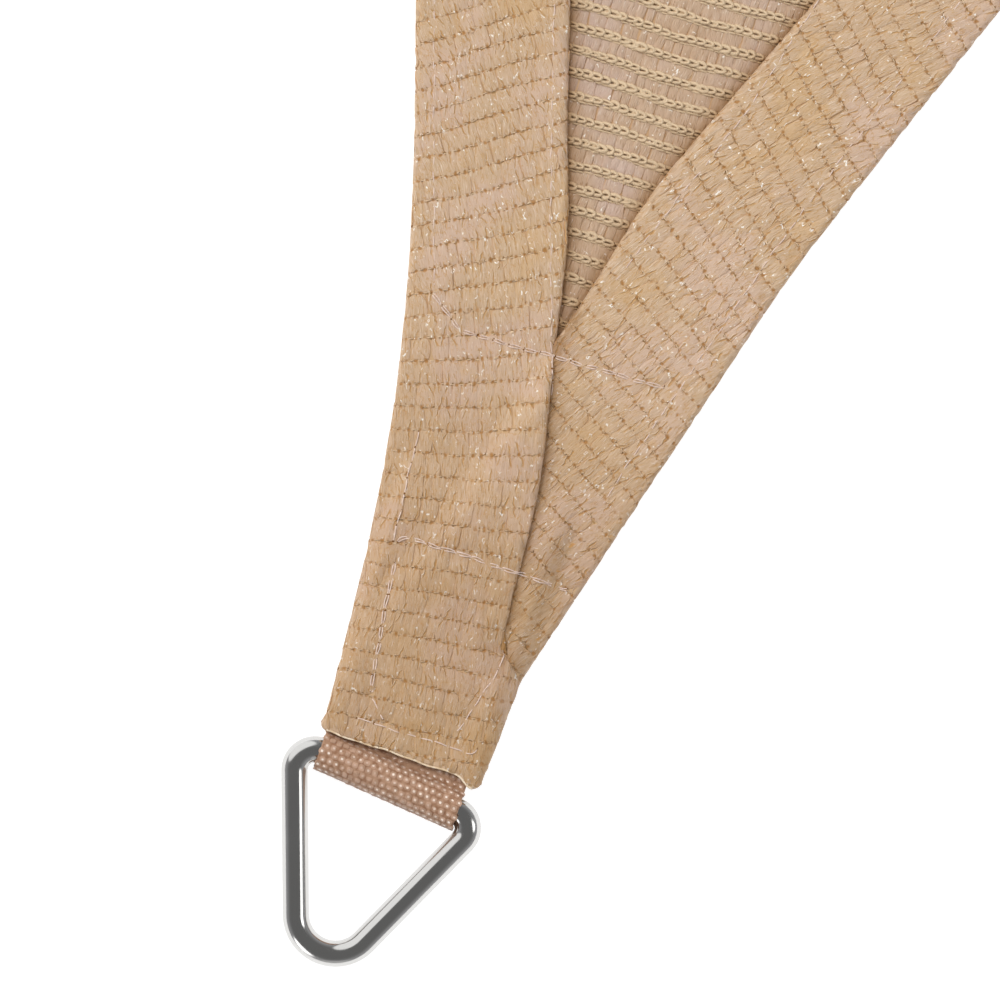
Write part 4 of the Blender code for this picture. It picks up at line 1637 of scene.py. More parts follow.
def build_patch(patch: KnitPatch, tree: bpy.types.NodeTree, shapes: bpy.types.Collection,
                finish: bpy.types.Material) -> bpy.types.Object:
    """Builds a patch of raised knit: lays its stitches out, sets the shapes on them and folds it.

    Args:
        patch: The patch.
        tree: The Geometry Nodes that set the shapes out.
        shapes: The shapes' collection.
        finish: The knit's material.

    Returns:
        The patch as a plain mesh object.
    """
    rng = np.random.default_rng(40 + 3 * patch.corner + patch.layer.value)
    places, numbers = patch.stitches()
    places = places + LATTICE.wander(places)
    if patch.layer is Layer.PANEL:
        points, picks, stretches = chain_points(places, numbers, rng)
    else:
        points, picks, stretches = tape_points(places, numbers, rng)
    keep = (picks < LOBES + PEBBLES) | patch.deep(points, 1.7)
    points, picks, stretches = points[keep], picks[keep], stretches[keep]
    cloud = unit_points(patch.name, points, picks, stretches)
    settings = {"Units": shapes, "Finish": finish, "Seed": 7 * patch.corner + patch.layer.value}
    mesh = run_nodes(patch.name, cloud, tree, settings)
    flat = get_points(mesh)
    made = patch.mapped(flat)
    set_points(mesh, made)
    set_uv(mesh, "knit", flat[:, :2] - LATTICE.wander(flat[:, :2]))
    set_value(mesh, "backing", patch.backing(made[:, :2]))
    if patch.layer is not Layer.PANEL:
        mesh.flip_normals()
    return new_object(patch.name, mesh)


def tape_points(places: Array, numbers: Array, rng: np.random.Generator) -> tuple[Array, Array, Array]:
    """Chooses the tape side's shapes: pebbles over two stitches, lobes over one, and threads.

    Args:
        places: The stitches' flat places.
        numbers: Their (row, stitch) numbers.
        rng: The source of chance.

    Returns:
        The shapes' places, their numbers and their stretches.
    """
    pebbles, lobes = pebbles_and_lobes(places, numbers, 0.74)
    threads = places + np.array([STITCH / 2, 0.04])
    points = np.vstack([pebbles, lobes, threads])
    last = LOBES + PEBBLES
    picks = [
        rng.integers(LOBES, last, len(pebbles)),
        rng.integers(0, LOBES, len(lobes)),
        np.full(len(threads), last),
    ]
    stretches = np.ones((len(points), 3))
    stretches[:, 0] -= 0.14 * (rng.random(len(points)) < 0.22)
    return points, np.concatenate(picks), stretches


def pebbles_and_lobes(places: Array, numbers: Array, share: float) -> tuple[Array, Array]:
    """Parts the tapes between two rows into pebbles over two stitches and lobes over one.

    The pairs are staggered from row to row, as bricks are.

    Args:
        places: The stitches' flat places.
        numbers: Their (row, stitch) numbers.
        share: The part of the pairs that are pebbles.

    Returns:
        The middles of the pebbles and of the lobes.
    """
    rows, stitches = numbers.T
    pair = (stitches + rows) // 2
    wide = (pair * 7919 + rows * 104729) % 1000 < 1000 * share
    pairs = np.unique(np.column_stack([rows, pair])[wide], axis=0)
    along = (2 * pairs[:, 1] - pairs[:, 0] + 0.5) * LATTICE.stitch
    middle = np.column_stack([along, pairs[:, 0] * LATTICE.row_pitch])
    middle = middle + LATTICE.wander(middle)
    half = np.array([0.0, LATTICE.row_pitch / 2])
    return middle + half, places[~wide] + half


def chain_points(places: Array, numbers: Array, rng: np.random.Generator) -> tuple[Array, Array, Array]:
    """Chooses the chain side's shapes: loops along each row, ribs between, a second line.

    Args:
        places: The stitches' flat places.
        numbers: Their (row, stitch) numbers.
        rng: The source of chance.

    Returns:
        The shapes' places, their numbers and their stretches.
    """
    pebbles, lobes = pebbles_and_lobes(places, numbers, 0.4)
    second = places + np.array([LATTICE.stitch / 2, -0.95])
    points = np.vstack([pebbles, lobes, places, second])
    last = LOBES + PEBBLES
    picks = [
        rng.integers(LOBES, last, len(pebbles)),
        rng.integers(0, LOBES, len(lobes)),
        np.repeat([last, last + 1], len(places)),
    ]
    picks = np.concatenate(picks)
    stretches = 1 + 0.12 * rng.standard_normal((len(points), 3)) * (picks >= last)[:, None]
    stretches[:, 0] -= 0.10 * (rng.random(len(points)) < 0.25) * (picks < last)
    return points, picks, stretches


# Seams


SEWN_STITCH = 3.1
THREAD_STEP = 0.5  # between the points of a thread's or a lip's line


@dataclass(frozen=True)
class Seam:
    """A row of stitches: its places on a corner, how many threads lie side by side, how deep."""

    points: tuple[tuple[float, float], ...]
    threads: int = 1
    apart: float = 0.55
    sunk: float = 0.0

    def lines(self) -> list[Array]:
        """The threads' lines over the corner, close enough together to follow the cloth."""
        points = np.array(self.points)
        steps = lengths(points)
        along = np.arange(0, steps[-1], THREAD_STEP)
        line = at_lengths(along, steps, points)
        kernel = np.ones(7) / 7
        padded = np.vstack([[line[0]] * 3, line, [line[-1]] * 3])
        line = np.column_stack([np.convolve(padded[:, i], kernel, "valid") for i in range(2)])
        aside = turned_left(unit(np.gradient(line, axis=0)))
        offsets = (np.arange(self.threads) - (self.threads - 1) / 2) * self.apart
        spread = 0.3 + 0.7 * np.abs(np.sin(math.pi * along / SEWN_STITCH))
        sway = 0.10 * np.sin(along / 1.9) + 0.07 * np.sin(along / 0.8)
        return [line + (offset * spread + sway)[:, None] * aside for offset in offsets]


SEAMS = (
    Seam(
        ((-22.6, 86.2), (-14.4, 80.9), (-8.0, 81.2), (4.0, 82.0), (16.0, 82.6), (26.6, 83.2)),
        threads=2,
    ),
    Seam(((-13.2, 38.2), (-12.2, 40.1), (0.0, 40.4), (21.6, 40.4)), threads=2),
    Seam(((-12.4, 35.2), (-10.6, 22.0), (-8.5, 9.3)), threads=2),
    Seam(((-16.1, 60.5), (-15.0, 50.0), (-13.7, 37.8))),
    Seam(((-8.4, 9.1), (-4.2, 5.1))),
    Seam(((-10.0, 4.2), (0.0, 4.4), (10.0, 4.9), (14.0, 4.6), (14.6, 7.0))),
    Seam(((13.2, 25.6), (13.1, 20.7), (11.5, 15.1), (9.4, 7.5))),
    Seam(((-44.0, 150.0), (-40.0, 139.6), (-31.0, 113.0), (-22.0, 86.8)), sunk=0.12),
    Seam(((-19.0, 150.0), (-15.2, 137.8), (-5.0, 106.0), (6.3, 74.1)), sunk=0.12),
    Seam(
        ((33.0, 175.0), (26.8, 150.9), (24.3, 139.9), (18.9, 124.2), (16.8, 118.9), (10.0, 98.0)), sunk=0.10
    ),
    Seam(((62.0, 190.0), (44.0, 136.0), (37.3, 114.5), (23.5, 65.1), (21.8, 57.6)), sunk=0.10),
)


def thread_tree() -> bpy.types.NodeTree:
    """Builds the Geometry Nodes that sew a thread along a line.

    Returns:
        The tree. Its inputs are the line, the stitch, how high the thread bows, its radius, the
        thread's and the needle hole's finishes.
    """
    sockets = (
        ("Thread", "Material", None),
        ("Hole", "Material", None),
        ("Stitch", "Float", SEWN_STITCH * MM),
        ("Bow", "Float", 0.45 * MM),
        ("Radius", "Float", 0.12 * MM),
    )
    tree, given = geometry_tree("sewn_thread", sockets)
    curve = add_node(tree, "GeometryNodeMeshToCurve", {0: given["Geometry"]}).outputs[0]
    fine = add_node(
        tree, "GeometryNodeResampleCurve", {"Curve": curve, "Length": 0.44 * MM}, mode="LENGTH"
    ).outputs[0]
    along = add_node(tree, "GeometryNodeSplineParameter").outputs["Length"]
    turn = math_node(tree, "MULTIPLY", math_node(tree, "DIVIDE", along, given["Stitch"]), math.pi)
    wave = math_node(tree, "POWER", math_node(tree, "ABSOLUTE", math_node(tree, "SINE", turn)), 0.8)
    rise = math_node(tree, "MULTIPLY", math_node(tree, "SUBTRACT", wave, 0.62), given["Bow"])
    offset = add_node(tree, "ShaderNodeCombineXYZ", {"Z": rise}).outputs[0]
    bowed = add_node(tree, "GeometryNodeSetPosition", {"Geometry": fine, "Offset": offset}).outputs[0]
    ring = add_node(
        tree, "GeometryNodeCurvePrimitiveCircle", {"Resolution": 6, "Radius": given["Radius"]}
    ).outputs[0]
    tube = add_node(
        tree, "GeometryNodeCurveToMesh", {"Curve": bowed, "Profile Curve": ring, "Fill Caps": True}
    ).outputs[0]
    dressed = add_node(
        tree, "GeometryNodeSetMaterial", {"Geometry": tube, "Material": given["Thread"]}
    ).outputs[0]
    # Dark beads at every stitch: painted shade in the needle holes.
    holes = add_node(
        tree, "GeometryNodeResampleCurve", {"Curve": curve, "Length": given["Stitch"]}, mode="LENGTH"
    ).outputs[0]
    bead = add_node(tree, "GeometryNodeMeshIcoSphere", {"Radius": 0.24 * MM, "Subdivisions": 2}).outputs[0]
    uneven = {0: (0.2, 0.2, 0.2), 1: (1.1, 1.1, 0.5), "Seed": 4}
    size = add_node(tree, "FunctionNodeRandomValue", uneven, data_type="FLOAT_VECTOR").outputs[0]
    beads = add_node(
        tree, "GeometryNodeInstanceOnPoints", {"Points": holes, "Instance": bead, "Scale": size}
    ).outputs[0]
    real = add_node(tree, "GeometryNodeRealizeInstances", {"Geometry": beads}).outputs[0]
    dark = add_node(
        tree, "GeometryNodeSetMaterial", {"Geometry": real, "Material": given["Hole"]}
    ).outputs[0]
    joined = add_node(tree, "GeometryNodeJoinGeometry")
    tree.links.new(dressed, joined.inputs[0])
    tree.links.new(dark, joined.inputs[0])
    add_node(tree, "NodeGroupOutput", {"Geometry": joined.outputs[0]})
    return tree


@dataclass(frozen=True)
class SeamThreads:
    """All the sewing thread of a corner."""

    corner: int
    above: float = -0.11

    def build(self, tree: bpy.types.NodeTree, thread: bpy.types.Material,
              hole: bpy.types.Material) -> bpy.types.Object:
        """Builds the threads.

        Args:
            tree: The Geometry Nodes that sew them.
            thread: The thread's finish.
            hole: The needle holes' finish.

        Returns:
            The threads as a plain mesh object.
        """
        points, edges = [], []
        for seam in SEAMS:
            for line in seam.lines():
                start = sum(len(p) for p in points)
                height = self.surface(line) + self.above - seam.sunk
                points.append(np.column_stack([PLAN.placed(self.corner, line), height]))
                edges += [(start + i, start + i + 1) for i in range(len(line) - 1)]
        name = f"sewing_thread_{self.corner + 1}"
        mesh = bpy.data.meshes.new(f"{name}_lines")
        mesh.from_pydata((np.vstack(points) * MM).tolist(), edges, [])
        made = run_nodes(name, mesh, tree, {"Thread": thread, "Hole": hole})
        made.shade_smooth()
        return new_object(name, made)

    def surface(self, places: Array) -> Array:
        """Height of the highest layer at a corner's places."""
        plan = PLAN.placed(self.corner, places)
        height = HEIGHTS.top(Layer.PANEL, *places.T)
        for layer in (Layer.UNDER, Layer.UPPER):
            loop = KnitPatch("", self.corner, layer, 0.0).region()
            height = np.where(inside(loop, plan), HEIGHTS.top(layer, *places.T), height)
        return height


def build_lip(corner: int, finish: bpy.types.Material) -> bpy.types.Object:
    """Builds the thin rolled lip of the turned cloth along a corner's end edge.

    Args:
        corner: The corner.
        finish: Its material.

    Returns:
        The lip, a slightly wavy roll.
    """
    end = PLAN.corner.end(60)[7:-7]
    steps = lengths(end)
    along = np.arange(0, steps[-1], THREAD_STEP)
    line = at_lengths(along, steps, end)
    wave = 0.10 * np.sin(along / 0.9 + corner) + 0.14 * np.sin(along / 2.3)
    line[:, 1] += 0.16 + 0.8 * wave
    height = HEIGHTS.top(Layer.UPPER, *line.T) - 0.40 + 0.5 * wave
    path = np.column_stack([PLAN.placed(corner, line), height])
    name = f"turned_lip_{corner + 1}"
    shape = tube_shape(path, 0.20, 8, closed=False)
    return new_object(name, mesh_from(name, shape.points, shape.faces), finish)


# Straps and rings


@dataclass(frozen=True)
class Ring:
    """A ring of round wire, bent to a triangle with soft corners. It repeats the CAD part's path."""

    corner: int
    wire: float = 2.55
    bends: tuple = ((-19.7, -3.3, 4.0), (19.5, -7.0, 3.6), (-2.4, -52.7, 7.6))
    bar_height: float = 4.15
    far_height: float = 2.6

    def height(self, inward: Array) -> Array:
        """Height of the wire's middle: it leans from the bar down to its far bend."""
        (left, left_at, _), (right, right_at, _), (far, far_at, bend) = self.bends
        left_way = math.atan2(left_at - far_at, left - far)
        right_way = math.atan2(right_at - far_at, right - far)
        lowest = far_at + bend * (1 / math.sin((left_way - right_way) / 2) - 1)
        middle = (left_at + right_at) / 2
        return self.far_height + (self.bar_height - self.far_height) * (inward - lowest) / (middle - lowest)

    def bar(self, across: float) -> Array:
        """(inward, height) of the bar's middle line at a place across."""
        (left, left_at, _), (right, right_at, _) = self.bends[:2]
        inward = left_at + (right_at - left_at) * (across - left) / (right - left)
        return np.array([inward, self.height(inward)])

    def path(self) -> Array:
        """Draws the wire's middle line.

        Returns:
            Its points in the sail's frame.
        """
        bends = [np.array(b[:2]) for b in self.bends]
        arcs = []
        for i, (_, _, radius) in enumerate(self.bends):
            here, before, after = bends[i], bends[i - 1], bends[(i + 1) % 3]
            to_before = (before - here) / np.linalg.norm(before - here)
            to_after = (after - here) / np.linalg.norm(after - here)
            half = math.acos(np.clip(to_before @ to_after, -1, 1)) / 2
            middle = (to_before + to_after) / np.linalg.norm(to_before + to_after)
            centre = here + middle * radius / math.sin(half)
            start = here + to_before * radius / math.tan(half) - centre
            end = here + to_after * radius / math.tan(half) - centre
            sweep = math.atan2(start[0] * end[1] - start[1] * end[0], start @ end)
            first = math.atan2(start[1], start[0])
            turn = np.linspace(first, first + sweep, 33)
            arcs.append(centre + radius * np.column_stack([np.cos(turn), np.sin(turn)]))
        filled_in = []
        for arc, after in zip(arcs, arcs[1:] + arcs[:1]):
            t = np.linspace(0, 1, 12)[1:-1, None]
            filled_in += [arc, arc[-1] * (1 - t) + after[0] * t]
        line = np.vstack(filled_in)
        return np.column_stack([PLAN.placed(self.corner, line), self.height(line[:, 1])])

    def build(self, finish: bpy.types.Material) -> bpy.types.Object:
        """Builds the ring."""
        name = f"corner_{self.corner + 1}_ring"
        shape = tube_shape(self.path(), self.wire, 36, closed=True)
        return new_object(name, mesh_from(name, shape.points, shape.faces), finish)


@dataclass(frozen=True)
class Strap:
    """A strap of woven tape folded round the ring's bar. It repeats the CAD part's profile."""

    corner: int
    ring: Ring
    middle: float = 0.2
    width: float = 28.8
    thick: float = 1.0
    tail: float = 44.0
    gap: float = 0.3
    ring_gap: float = 0.5
    tail_rise: float = 1.1
    mouth_drop: float = 0.5
    upper_from: float = 3.8
    lower_from: float = 3.4
    stops: tuple = (1.5, 3.0, 4.5, 6.0, 9.0, 12.0, 18.0, 24.0, 30.0)
    yarn_along: float = 1.30
    yarn_across: float = 1.37

    def profile(self, across: float) -> Array:
        """Draws the strap's middle line at a place across, from the upper tail round to the lower.

        Args:
            across: The place.

        Returns:
            Its points as rows of (inward, height).
        """
        bend = self.ring.wire + self.ring_gap + self.thick / 2
        centre = self.ring.bar(across)
        stops = np.array([centre[0] + self.lower_from, *self.stops, self.tail])
        height = HEIGHTS.lift(stops) + HEIGHTS.sheet + self.gap + self.thick / 2
        lower = np.column_stack([stops, height - self.mouth_drop * HEIGHTS.mouth(stops)])
        stops = np.array([centre[0] + self.upper_from, *self.stops, self.tail])
        height = HEIGHTS.lift(stops) + HEIGHTS.sheet + 2 * self.gap + 1.5 * self.thick
        upper = np.column_stack([stops, height + self.tail_rise * HEIGHTS.mouth(stops)])[::-1]
        angles = []
        for start, sign in ((upper[-1], 1), (lower[0], -1)):
            off = start - centre
            reach = math.acos(bend / np.linalg.norm(off))
            angles.append(math.atan2(off[1], off[0]) + sign * reach)
        turn = np.linspace(angles[0], angles[1] + 2 * math.pi, 41)
        loop = centre + bend * np.column_stack([np.cos(turn), np.sin(turn)])
        return np.vstack([upper, loop, lower])

    def at(self, across: Array, along: Array, height: Array) -> Array:
        """Puts flat places of the strap on its folded shape.

        Args:
            across: Their across.
            along: How far along the profile they are, from the upper tail's end.
            height: How far outside the middle line.

        Returns:
            The points in the sail's frame.
        """
        edges = [self.profile(self.middle + side * self.width / 2) for side in (-1, 1)]
        share = (across - self.middle) / self.width + 0.5
        places = []
        for line in edges:
            steps = lengths(line)
            steps *= self.length() / steps[-1]
            lefts = turned_left(unit(np.gradient(line, axis=0)))
            spot = at_lengths(along, steps, line)
            way = unit(at_lengths(along, steps, lefts))
            places.append(spot - way * height[:, None])
        section = places[0] * (1 - share)[:, None] + places[1] * share[:, None]
        plan = PLAN.placed(self.corner, np.column_stack([across, section[:, 0]]))
        return np.column_stack([plan, section[:, 1]])

    def length(self) -> float:
        """Length of the strap's middle line."""
        line = self.profile(self.middle)
        return float(np.linalg.norm(np.diff(line, axis=0), axis=1).sum())

    def build(self, finish: bpy.types.Material) -> bpy.types.Object:
        """Builds the tape itself, a closed band with rounded selvedges."""
        half = self.width / 2
        edge = np.array([0.0, 0.06, 0.2, 0.5])
        middle = np.linspace(-half + 1.5, half - 1.5, 19)
        columns = np.concatenate([-half + edge, middle, half - edge[::-1]])
        inset_by = np.minimum(half - np.abs(columns), 0.5)
        rounding = np.sqrt(np.maximum(1 - ((0.5 - inset_by) / 0.5) ** 2, 0.02))
        along = np.linspace(0, self.length(), 110)
        rows = []
        for side in (1, -1):
            for column, share in zip(columns, rounding):
                height = np.full(len(along), side * (self.thick / 2 - 0.12) * share)
                rows.append(self.at(np.full(len(along), self.middle + column), along, height))
        count, span = len(along), len(columns)
        faces = []
        order = list(range(span)) + list(range(2 * span - 1, span - 1, -1))
        for a, b in zip(order, order[1:] + order[:1]):
            for i in range(count - 1):
                faces.append((a * count + i, b * count + i, b * count + i + 1, a * count + i + 1))
        faces.append(tuple(a * count for a in order)[::-1])
        faces.append(tuple(a * count + count - 1 for a in order))
        name = f"corner_{self.corner + 1}_strap"
        mesh = mesh_from(name, np.vstack(rows), faces)
        return new_object(name, mesh, finish)

    def build_yarns(self, tree: bpy.types.NodeTree, shapes: bpy.types.Collection,
                    finish: bpy.types.Material) -> bpy.types.Object:
        """Builds the tape's weave where it shows: rows of yarn floats across its width.

        Args:
            tree: The Geometry Nodes that set shapes out.
            shapes: The floats' shapes.
            finish: The yarn's finish.

        Returns:
            The floats as a plain mesh object.
        """
        first = self.tail - 4.0
        last = self.length() - self.tail + 4.0
        rows = np.arange(first, last, self.yarn_along)
        picks = np.arange(-self.width / 2 + 0.75, self.width / 2 - 0.5, self.yarn_across)
        numbers = np.meshgrid(np.arange(len(rows)), np.arange(len(picks)), indexing="ij")
        row, pick = (n.ravel() for n in numbers)
        across = picks[pick] + (row % 2 - 0.5) * self.yarn_across / 2
        name = f"corner_{self.corner + 1}_strap_weave"
        places = np.column_stack([across, rows[row]])
        mesh = unit_points(name, places, row % 2, np.ones((len(row), 3)))
        settings = {"Units": shapes, "Finish": finish, "Turn": 0.12, "Move": 0.10 * MM, "Resize": 0.12}
        made = run_nodes(name, mesh, tree, {**settings, "Seed": 90 + self.corner})
        points = get_points(made)
        height = points[:, 2] + self.thick / 2 - 0.15
        set_points(made, self.at(self.middle + points[:, 0], points[:, 1], height))
        return new_object(name, made)


# The sail


def reach_of(corner: int, layer: Layer) -> float:
    """How far from a tip the knit is raised: farthest at the corner that is looked at closely."""
    usual, farthest = {
        Layer.PANEL: (120.0, 195.0),
        Layer.UNDER: (130.0, 195.0),
        Layer.UPPER: (120.0, 165.0),
    }[layer]
    return farthest if corner == 0 else usual


class Sail:
    """The cloth: its panel, its three hems, the raised knit near the tips and the seams."""

    near_tip = 215.0

    def __init__(self) -> None:
        """Builds the finishes and node trees that its pieces share."""
        ground = KnitGround("knitted_cloth_polyethylene", LATTICE.row_pitch, LATTICE.stitch)
        self.ground = ground.build()
        self.tape = TapeFinish().build()
        chain = TapeFinish(
            name="knitted_chain_polyethylene",
            pale="cfb398",
            deep="be9e81",
            pink="cbb09e",
            gold="c3a384",
            slit_shade="8c6238",
            thread="dcc2a0",
            marked=0.0,
            rim_shade=0.7,
        )
        self.chain = chain.build()
        self.thread = YarnFinish("sewing_thread_polyester", "e9d3c6", "dac0af", sheen=0.2).build()
        # The lip is paler than the cloth: a painted highlight along the turned fold.
        self.lip = YarnFinish("turned_edge_polyethylene", "f0dfc6", "dcc19c", roughness=0.45).build()
        self.hole = PlainFinish("needle_hole_dusk", "7d5429").build()
        self.relief = relief_tree()
        self.sewn = thread_tree()

    def top_of(self, hem: int | None) -> PlanFunction:
        """Gives the function for a layer's upper face over the plan.

        Args:
            hem: The hem's first corner, or none for the panel.

        Returns:
            A function of plan points.
        """

        def heights(plan: Array) -> Array:
            """Heights over plan points."""
            nearest, places = nearest_corner(plan)
            layer = self.layer_at(hem, nearest)
            level = 1.0 if hem is None else 3.0
            height = level + swell(plan)
            for kind in Layer:
                mine = (layer == kind.value) & (places[:, 1] < self.near_tip)
                height[mine] = HEIGHTS.top(kind, *places[mine].T)
            drop = HEIGHTS.mouth(places[:, 1]) * 0.5 if hem is None else 0.0
            return height - HEIGHTS.sunk - drop - HEIGHTS.under_knit * self.covered(hem, plan)

        return heights

    def thickness_of(self, hem: int | None) -> PlanFunction:
        """Gives the function for a layer's thickness over the plan.

        Args:
            hem: The hem's first corner, or none for the panel.

        Returns:
            A function of plan points.
        """

        def thicknesses(plan: Array) -> Array:
            """Thicknesses over plan points."""
            nearest, places = nearest_corner(plan)
            layer = self.layer_at(hem, nearest)
            thick = np.full(len(plan), 0.75 if hem is None else 2.0)
            for kind in Layer:
                mine = (layer == kind.value) & (places[:, 1] < self.near_tip)
                thick[mine] = HEIGHTS.thickness(kind, *places[mine].T)
            thick -= HEIGHTS.under_knit * self.covered(hem, plan)
            return thick - (HEIGHTS.mouth(places[:, 1]) * 0.5 if hem is None else 0.0)

        return thicknesses

    @staticmethod
    def layer_at(hem: int | None, nearest: Array) -> Array:
        """Which layer a hem (or the panel) is at each nearest corner, as its number."""
        if hem is None:
            return np.full(len(nearest), Layer.PANEL.value)
        return np.where(nearest == hem, Layer.UPPER.value, Layer.UNDER.value)

    def build_base(self, name: str, hem: int | None) -> bpy.types.Object:
        """Builds the panel or a hem as a closed layer.

        Args:
            name: Its name.
            hem: The hem's first corner, or none for the panel.

        Returns:
            The object.
        """
        if hem is None:
            loop = inset(PLAN.outline(), 0.7)
        else:
            loop = inset(PLAN.hem_loop(hem), 0.12)

        def near(plan: Array) -> Array:
            """True within reach of a tip."""
            return nearest_corner(plan)[1][:, 1] < self.near_tip

        def far(plan: Array) -> Array:
            """True out of a tip's reach."""
            return ~near(plan)

        close = self.near_tip / 2

        def at_tip(plan: Array) -> Array:
            """True close to a tip."""
            return nearest_corner(plan)[1][:, 1] < close

        def around_tip(plan: Array) -> Array:
            """True between the two."""
            return near(plan) & ~at_tip(plan)

        steps = ((1.6, at_tip, 1.6), (4.0, around_tip, 2.0), (9.0, far, 3.0))
        if hem is None:
            steps = ((3.5, at_tip, 1.8), (7.0, around_tip, 3.0), (28.0, far, 9.0))
        sheet = Sheet(name, loop, np.vstack([grid(loop, *step) for step in steps]))
        mesh, plan, share = sheet.build(self.top_of(hem), self.thickness_of(hem))
        flat = plan
        if hem is not None:
            fold = PLAN.fold_line(hem, past=FOLD_PAST)
            flat = np.where((share > 0.5)[:, None], 2 * beside(fold, plan).foot - plan, plan)
        set_uv(mesh, "cloth", LATTICE.along(flat))
        set_value(mesh, "cover", self.covered(hem, plan) * (share > 0.99))
        return new_object(name, mesh, self.ground)

    def covered(self, hem: int | None, plan: Array) -> Array:
        """How far the raised knit covers a layer: 1 under it, 0 on bare stretches."""
        nearest, places = nearest_corner(plan)
        layer = self.layer_at(hem, nearest)
        cover = np.zeros(len(plan))
        for corner in range(CORNERS):
            for kind in Layer:
                mine = (layer == kind.value) & (nearest == corner)
                reach = reach_of(corner, kind)
                bare = smooth((places[mine, 1] - 1.2) / 2.0)
                cover[mine] = (1 - smooth((places[mine, 1] - reach + 26) / 26)) * bare
        return cover

    def build(self) -> list[bpy.types.Object]:
        """Builds every piece of the cloth.

        Returns:
            The panel first, then what lies on it.
        """
        pieces = [self.build_base("sail_panel", None)]
        for hem in range(CORNERS):
            pieces.append(self.build_base(f"sail_hem_{hem + 1}", hem))
        LOG.info("bases built")
        tapes, chains = tape_units().build(), chain_units().build()
        for corner in range(CORNERS):
            for name, layer, shapes, finish in (
                ("knit_left_hem", Layer.UPPER, tapes, self.tape),
                ("knit_right_hem", Layer.UNDER, tapes, self.tape),
                ("knit_panel", Layer.PANEL, chains, self.chain),
            ):
                patch = KnitPatch(f"{name}_{corner + 1}", corner, layer, reach_of(corner, layer))
                pieces.append(build_patch(patch, self.relief, shapes, finish))
                LOG.info("%s: %d faces", patch.name, len(pieces[-1].data.polygons))
            pieces.append(SeamThreads(corner).build(self.sewn, self.thread, self.hole))
            pieces.append(build_lip(corner, self.lip))
        return pieces


# Studio


# Each soft box: its side in the picture (degrees, 0 right, 90 up), how far it is tipped from the
# zenith, its radius (degrees) and how bright it is.
ROOM_LIGHTS = (
    (128.0, 62.0, 33.0, 1.1),
    (0.0, 55.0, 11.0, 2.4),
    (228.0, 72.0, 13.0, 2.4),
    (268.0, 80.0, 16.0, 0.5),
)


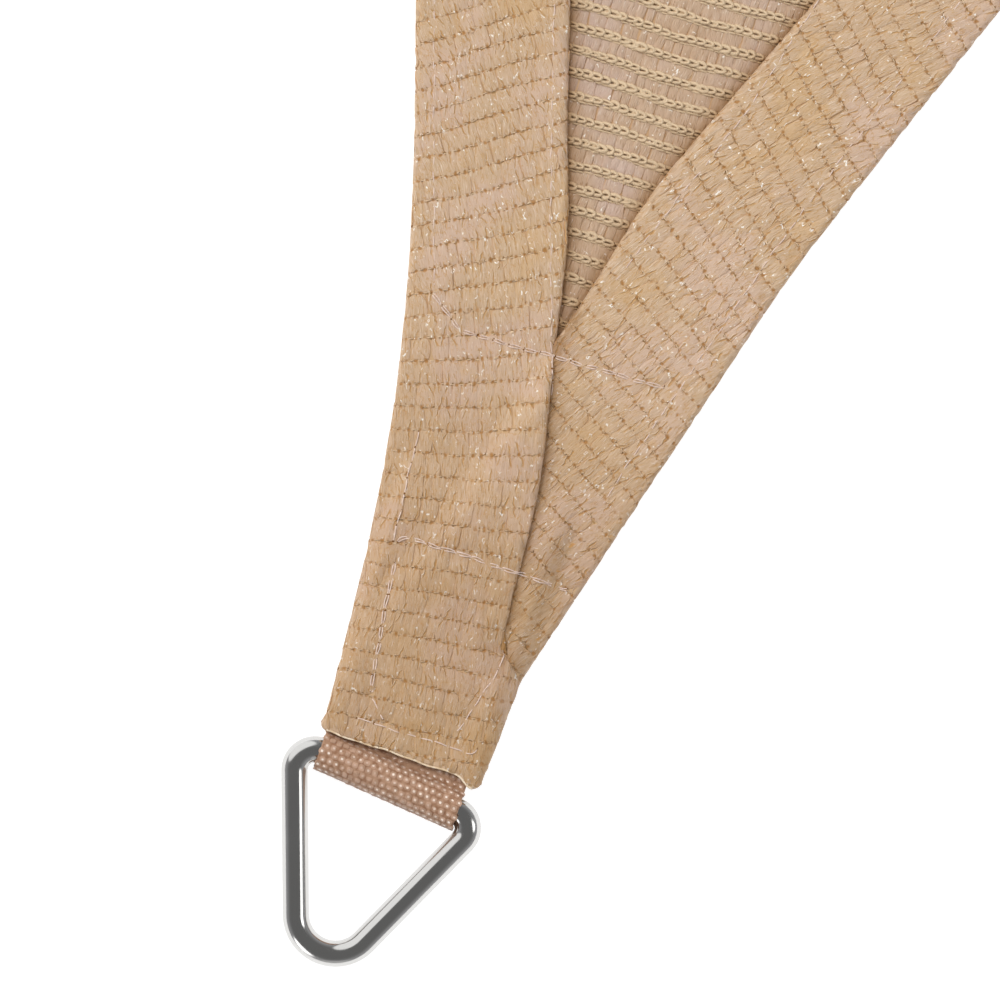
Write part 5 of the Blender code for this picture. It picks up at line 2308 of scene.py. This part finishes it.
@dataclass(frozen=True)
class Studio:
    """A plain pale floor, soft light and the camera, straight above the photographed corner."""

    turned: float = math.radians(18.8)
    middle: tuple[float, float] = (3.0, 52.6)
    field: float = 192.3
    distance: float = 1.6

    def build(self) -> bpy.types.Object:
        """Builds the studio.

        Returns:
            The floor.
        """
        scene = bpy.context.scene
        scene.view_settings.view_transform = "Standard"
        self.build_camera(scene)
        self.build_world(scene)
        self.build_lights(scene)
        finish = PlainFinish("studio_floor_matt_white", "989898", glow=0.88).build()
        mesh = bpy.data.meshes.new("studio_floor")
        corners = [(-30, -30, 0), (30, -30, 0), (30, 30, 0), (-30, 30, 0)]
        mesh.from_pydata([(x, y, -0.0006) for x, y, _ in corners], [], [(0, 1, 2, 3)])
        floor = new_object("studio_floor", mesh, finish)
        return floor

    def build_camera(self, scene: bpy.types.Scene) -> None:
        """Sets the camera straight above the corner, turned as the photograph is."""
        data = bpy.data.cameras.new("camera")
        camera = bpy.data.objects.new("camera", data)
        scene.collection.objects.link(camera)
        x, y = PLAN.placed(0, [self.middle])[0] * MM
        camera.location = (x, y, self.distance)
        camera.rotation_euler = (0.0, 0.0, self.turned)
        data.sensor_width = 36.0
        data.lens = 36.0 * self.distance / (self.field * MM)
        data.clip_start, data.clip_end = 0.05, 100.0
        scene.camera = camera

    def build_world(self, scene: bpy.types.Scene) -> None:
        """Makes the room's light: dim walls and ceiling with soft boxes, as the wire shows them."""
        world = bpy.data.worlds.new("studio_room")
        scene.world = world
        world.use_nodes = True
        tree = world.node_tree
        way = add_node(tree, "ShaderNodeTexCoord").outputs["Generated"]
        up = add_node(tree, "ShaderNodeSeparateXYZ", {0: way}).outputs["Z"]
        colour = mixed(tree, ramp(tree, up, 0.75, 0.1), (0.16, 0.16, 0.16, 1), (0.36, 0.36, 0.37, 1))
        for aside, tipped, radius, level in ROOM_LIGHTS:
            turn, tip = math.radians(aside) + self.turned, math.radians(tipped)
            centre = (math.sin(tip) * math.cos(turn), math.sin(tip) * math.sin(turn), math.cos(tip))
            near = add_node(tree, "ShaderNodeVectorMath", {0: way, 1: centre}, operation="DOT_PRODUCT")
            outer, inner = (math.cos(math.radians(angle)) for angle in (radius + 3, radius - 3))
            inside_box = ramp(tree, near.outputs["Value"], outer, inner)
            colour = mixed(tree, inside_box, colour, (level, level, level, 1))
        background = tree.nodes["Background"]
        fill(background, {"Color": colour, "Strength": 1.0})

    def build_lights(self, scene: bpy.types.Scene) -> None:
        """Sets a broad soft light to the upper left of the picture and a weak one opposite."""
        for name, way, strength, spread in (
            ("soft_main", (-0.9, 0.44, 1.15), 1.25, 50.0),
            ("crisp_main", (-0.55, 0.30, 1.0), 0.35, 3.0),
            ("soft_fill", (0.8, 0.9, 1.0), 0.45, 70.0),
            ("soft_top", (0.1, -0.2, 1.0), 0.45, 80.0),
        ):
            data = bpy.data.lights.new(name, "SUN")
            data.energy = strength
            data.angle = math.radians(spread)
            lamp = bpy.data.objects.new(name, data)
            scene.collection.objects.link(lamp)
            lamp.visible_glossy = False
            lamp.rotation_euler = Vector(way).to_track_quat("Z", "Y").to_euler()


# Main


def strap_units() -> Units:
    """The weave's shapes: short bright floats of yarn, two kinds."""
    blunt = ((0.95, 0.60), (0.62, 0.95))
    sizes = ((1.20, 1.06, 0.10), (1.16, 1.10, 0.08))
    kinds = [Pad(*size, foot=0.2, crown=0.32, corner=blunt).shape() for size in sizes]
    return Units("strap_unit", tuple(kinds))


def main() -> None:
    """Builds the sail, its straps and rings, and the studio, and ties them to the frame."""
    logging.basicConfig(level=logging.INFO, format="%(message)s")
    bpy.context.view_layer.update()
    sail = Sail()
    cloth = sail.build()
    strap_finish = YarnFinish("woven_strap_polyester", "b08a6e", "936a4e").build()
    # The weave's crown colour is a painted highlight on each yarn float.
    weave_finish = YarnFinish(
        "woven_strap_yarn_polyester", "c19c84", "ab876d", roughness=0.4, sheen=0.3, crown="f2e2d4"
    ).build()
    steel = SteelFinish().build()
    shapes = strap_units().build()
    for piece in cloth:
        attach(piece, "root")
    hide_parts("sail_cloth")
    for corner in range(CORNERS):
        ring = Ring(corner)
        strap = Strap(corner, ring)
        made = ring.build(steel)
        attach(made, "root")
        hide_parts(f"corner_ring_{corner + 1}")
        band = strap.build(strap_finish)
        yarns = strap.build_yarns(sail.relief, shapes, weave_finish)
        for piece in (band, yarns):
            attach(piece, "root")
        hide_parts(f"corner_strap_{corner + 1}")
        LOG.info("corner %d dressed", corner + 1)
    Studio().build()
    bpy.context.view_layer.update()


if __name__ == "__main__":
    main()
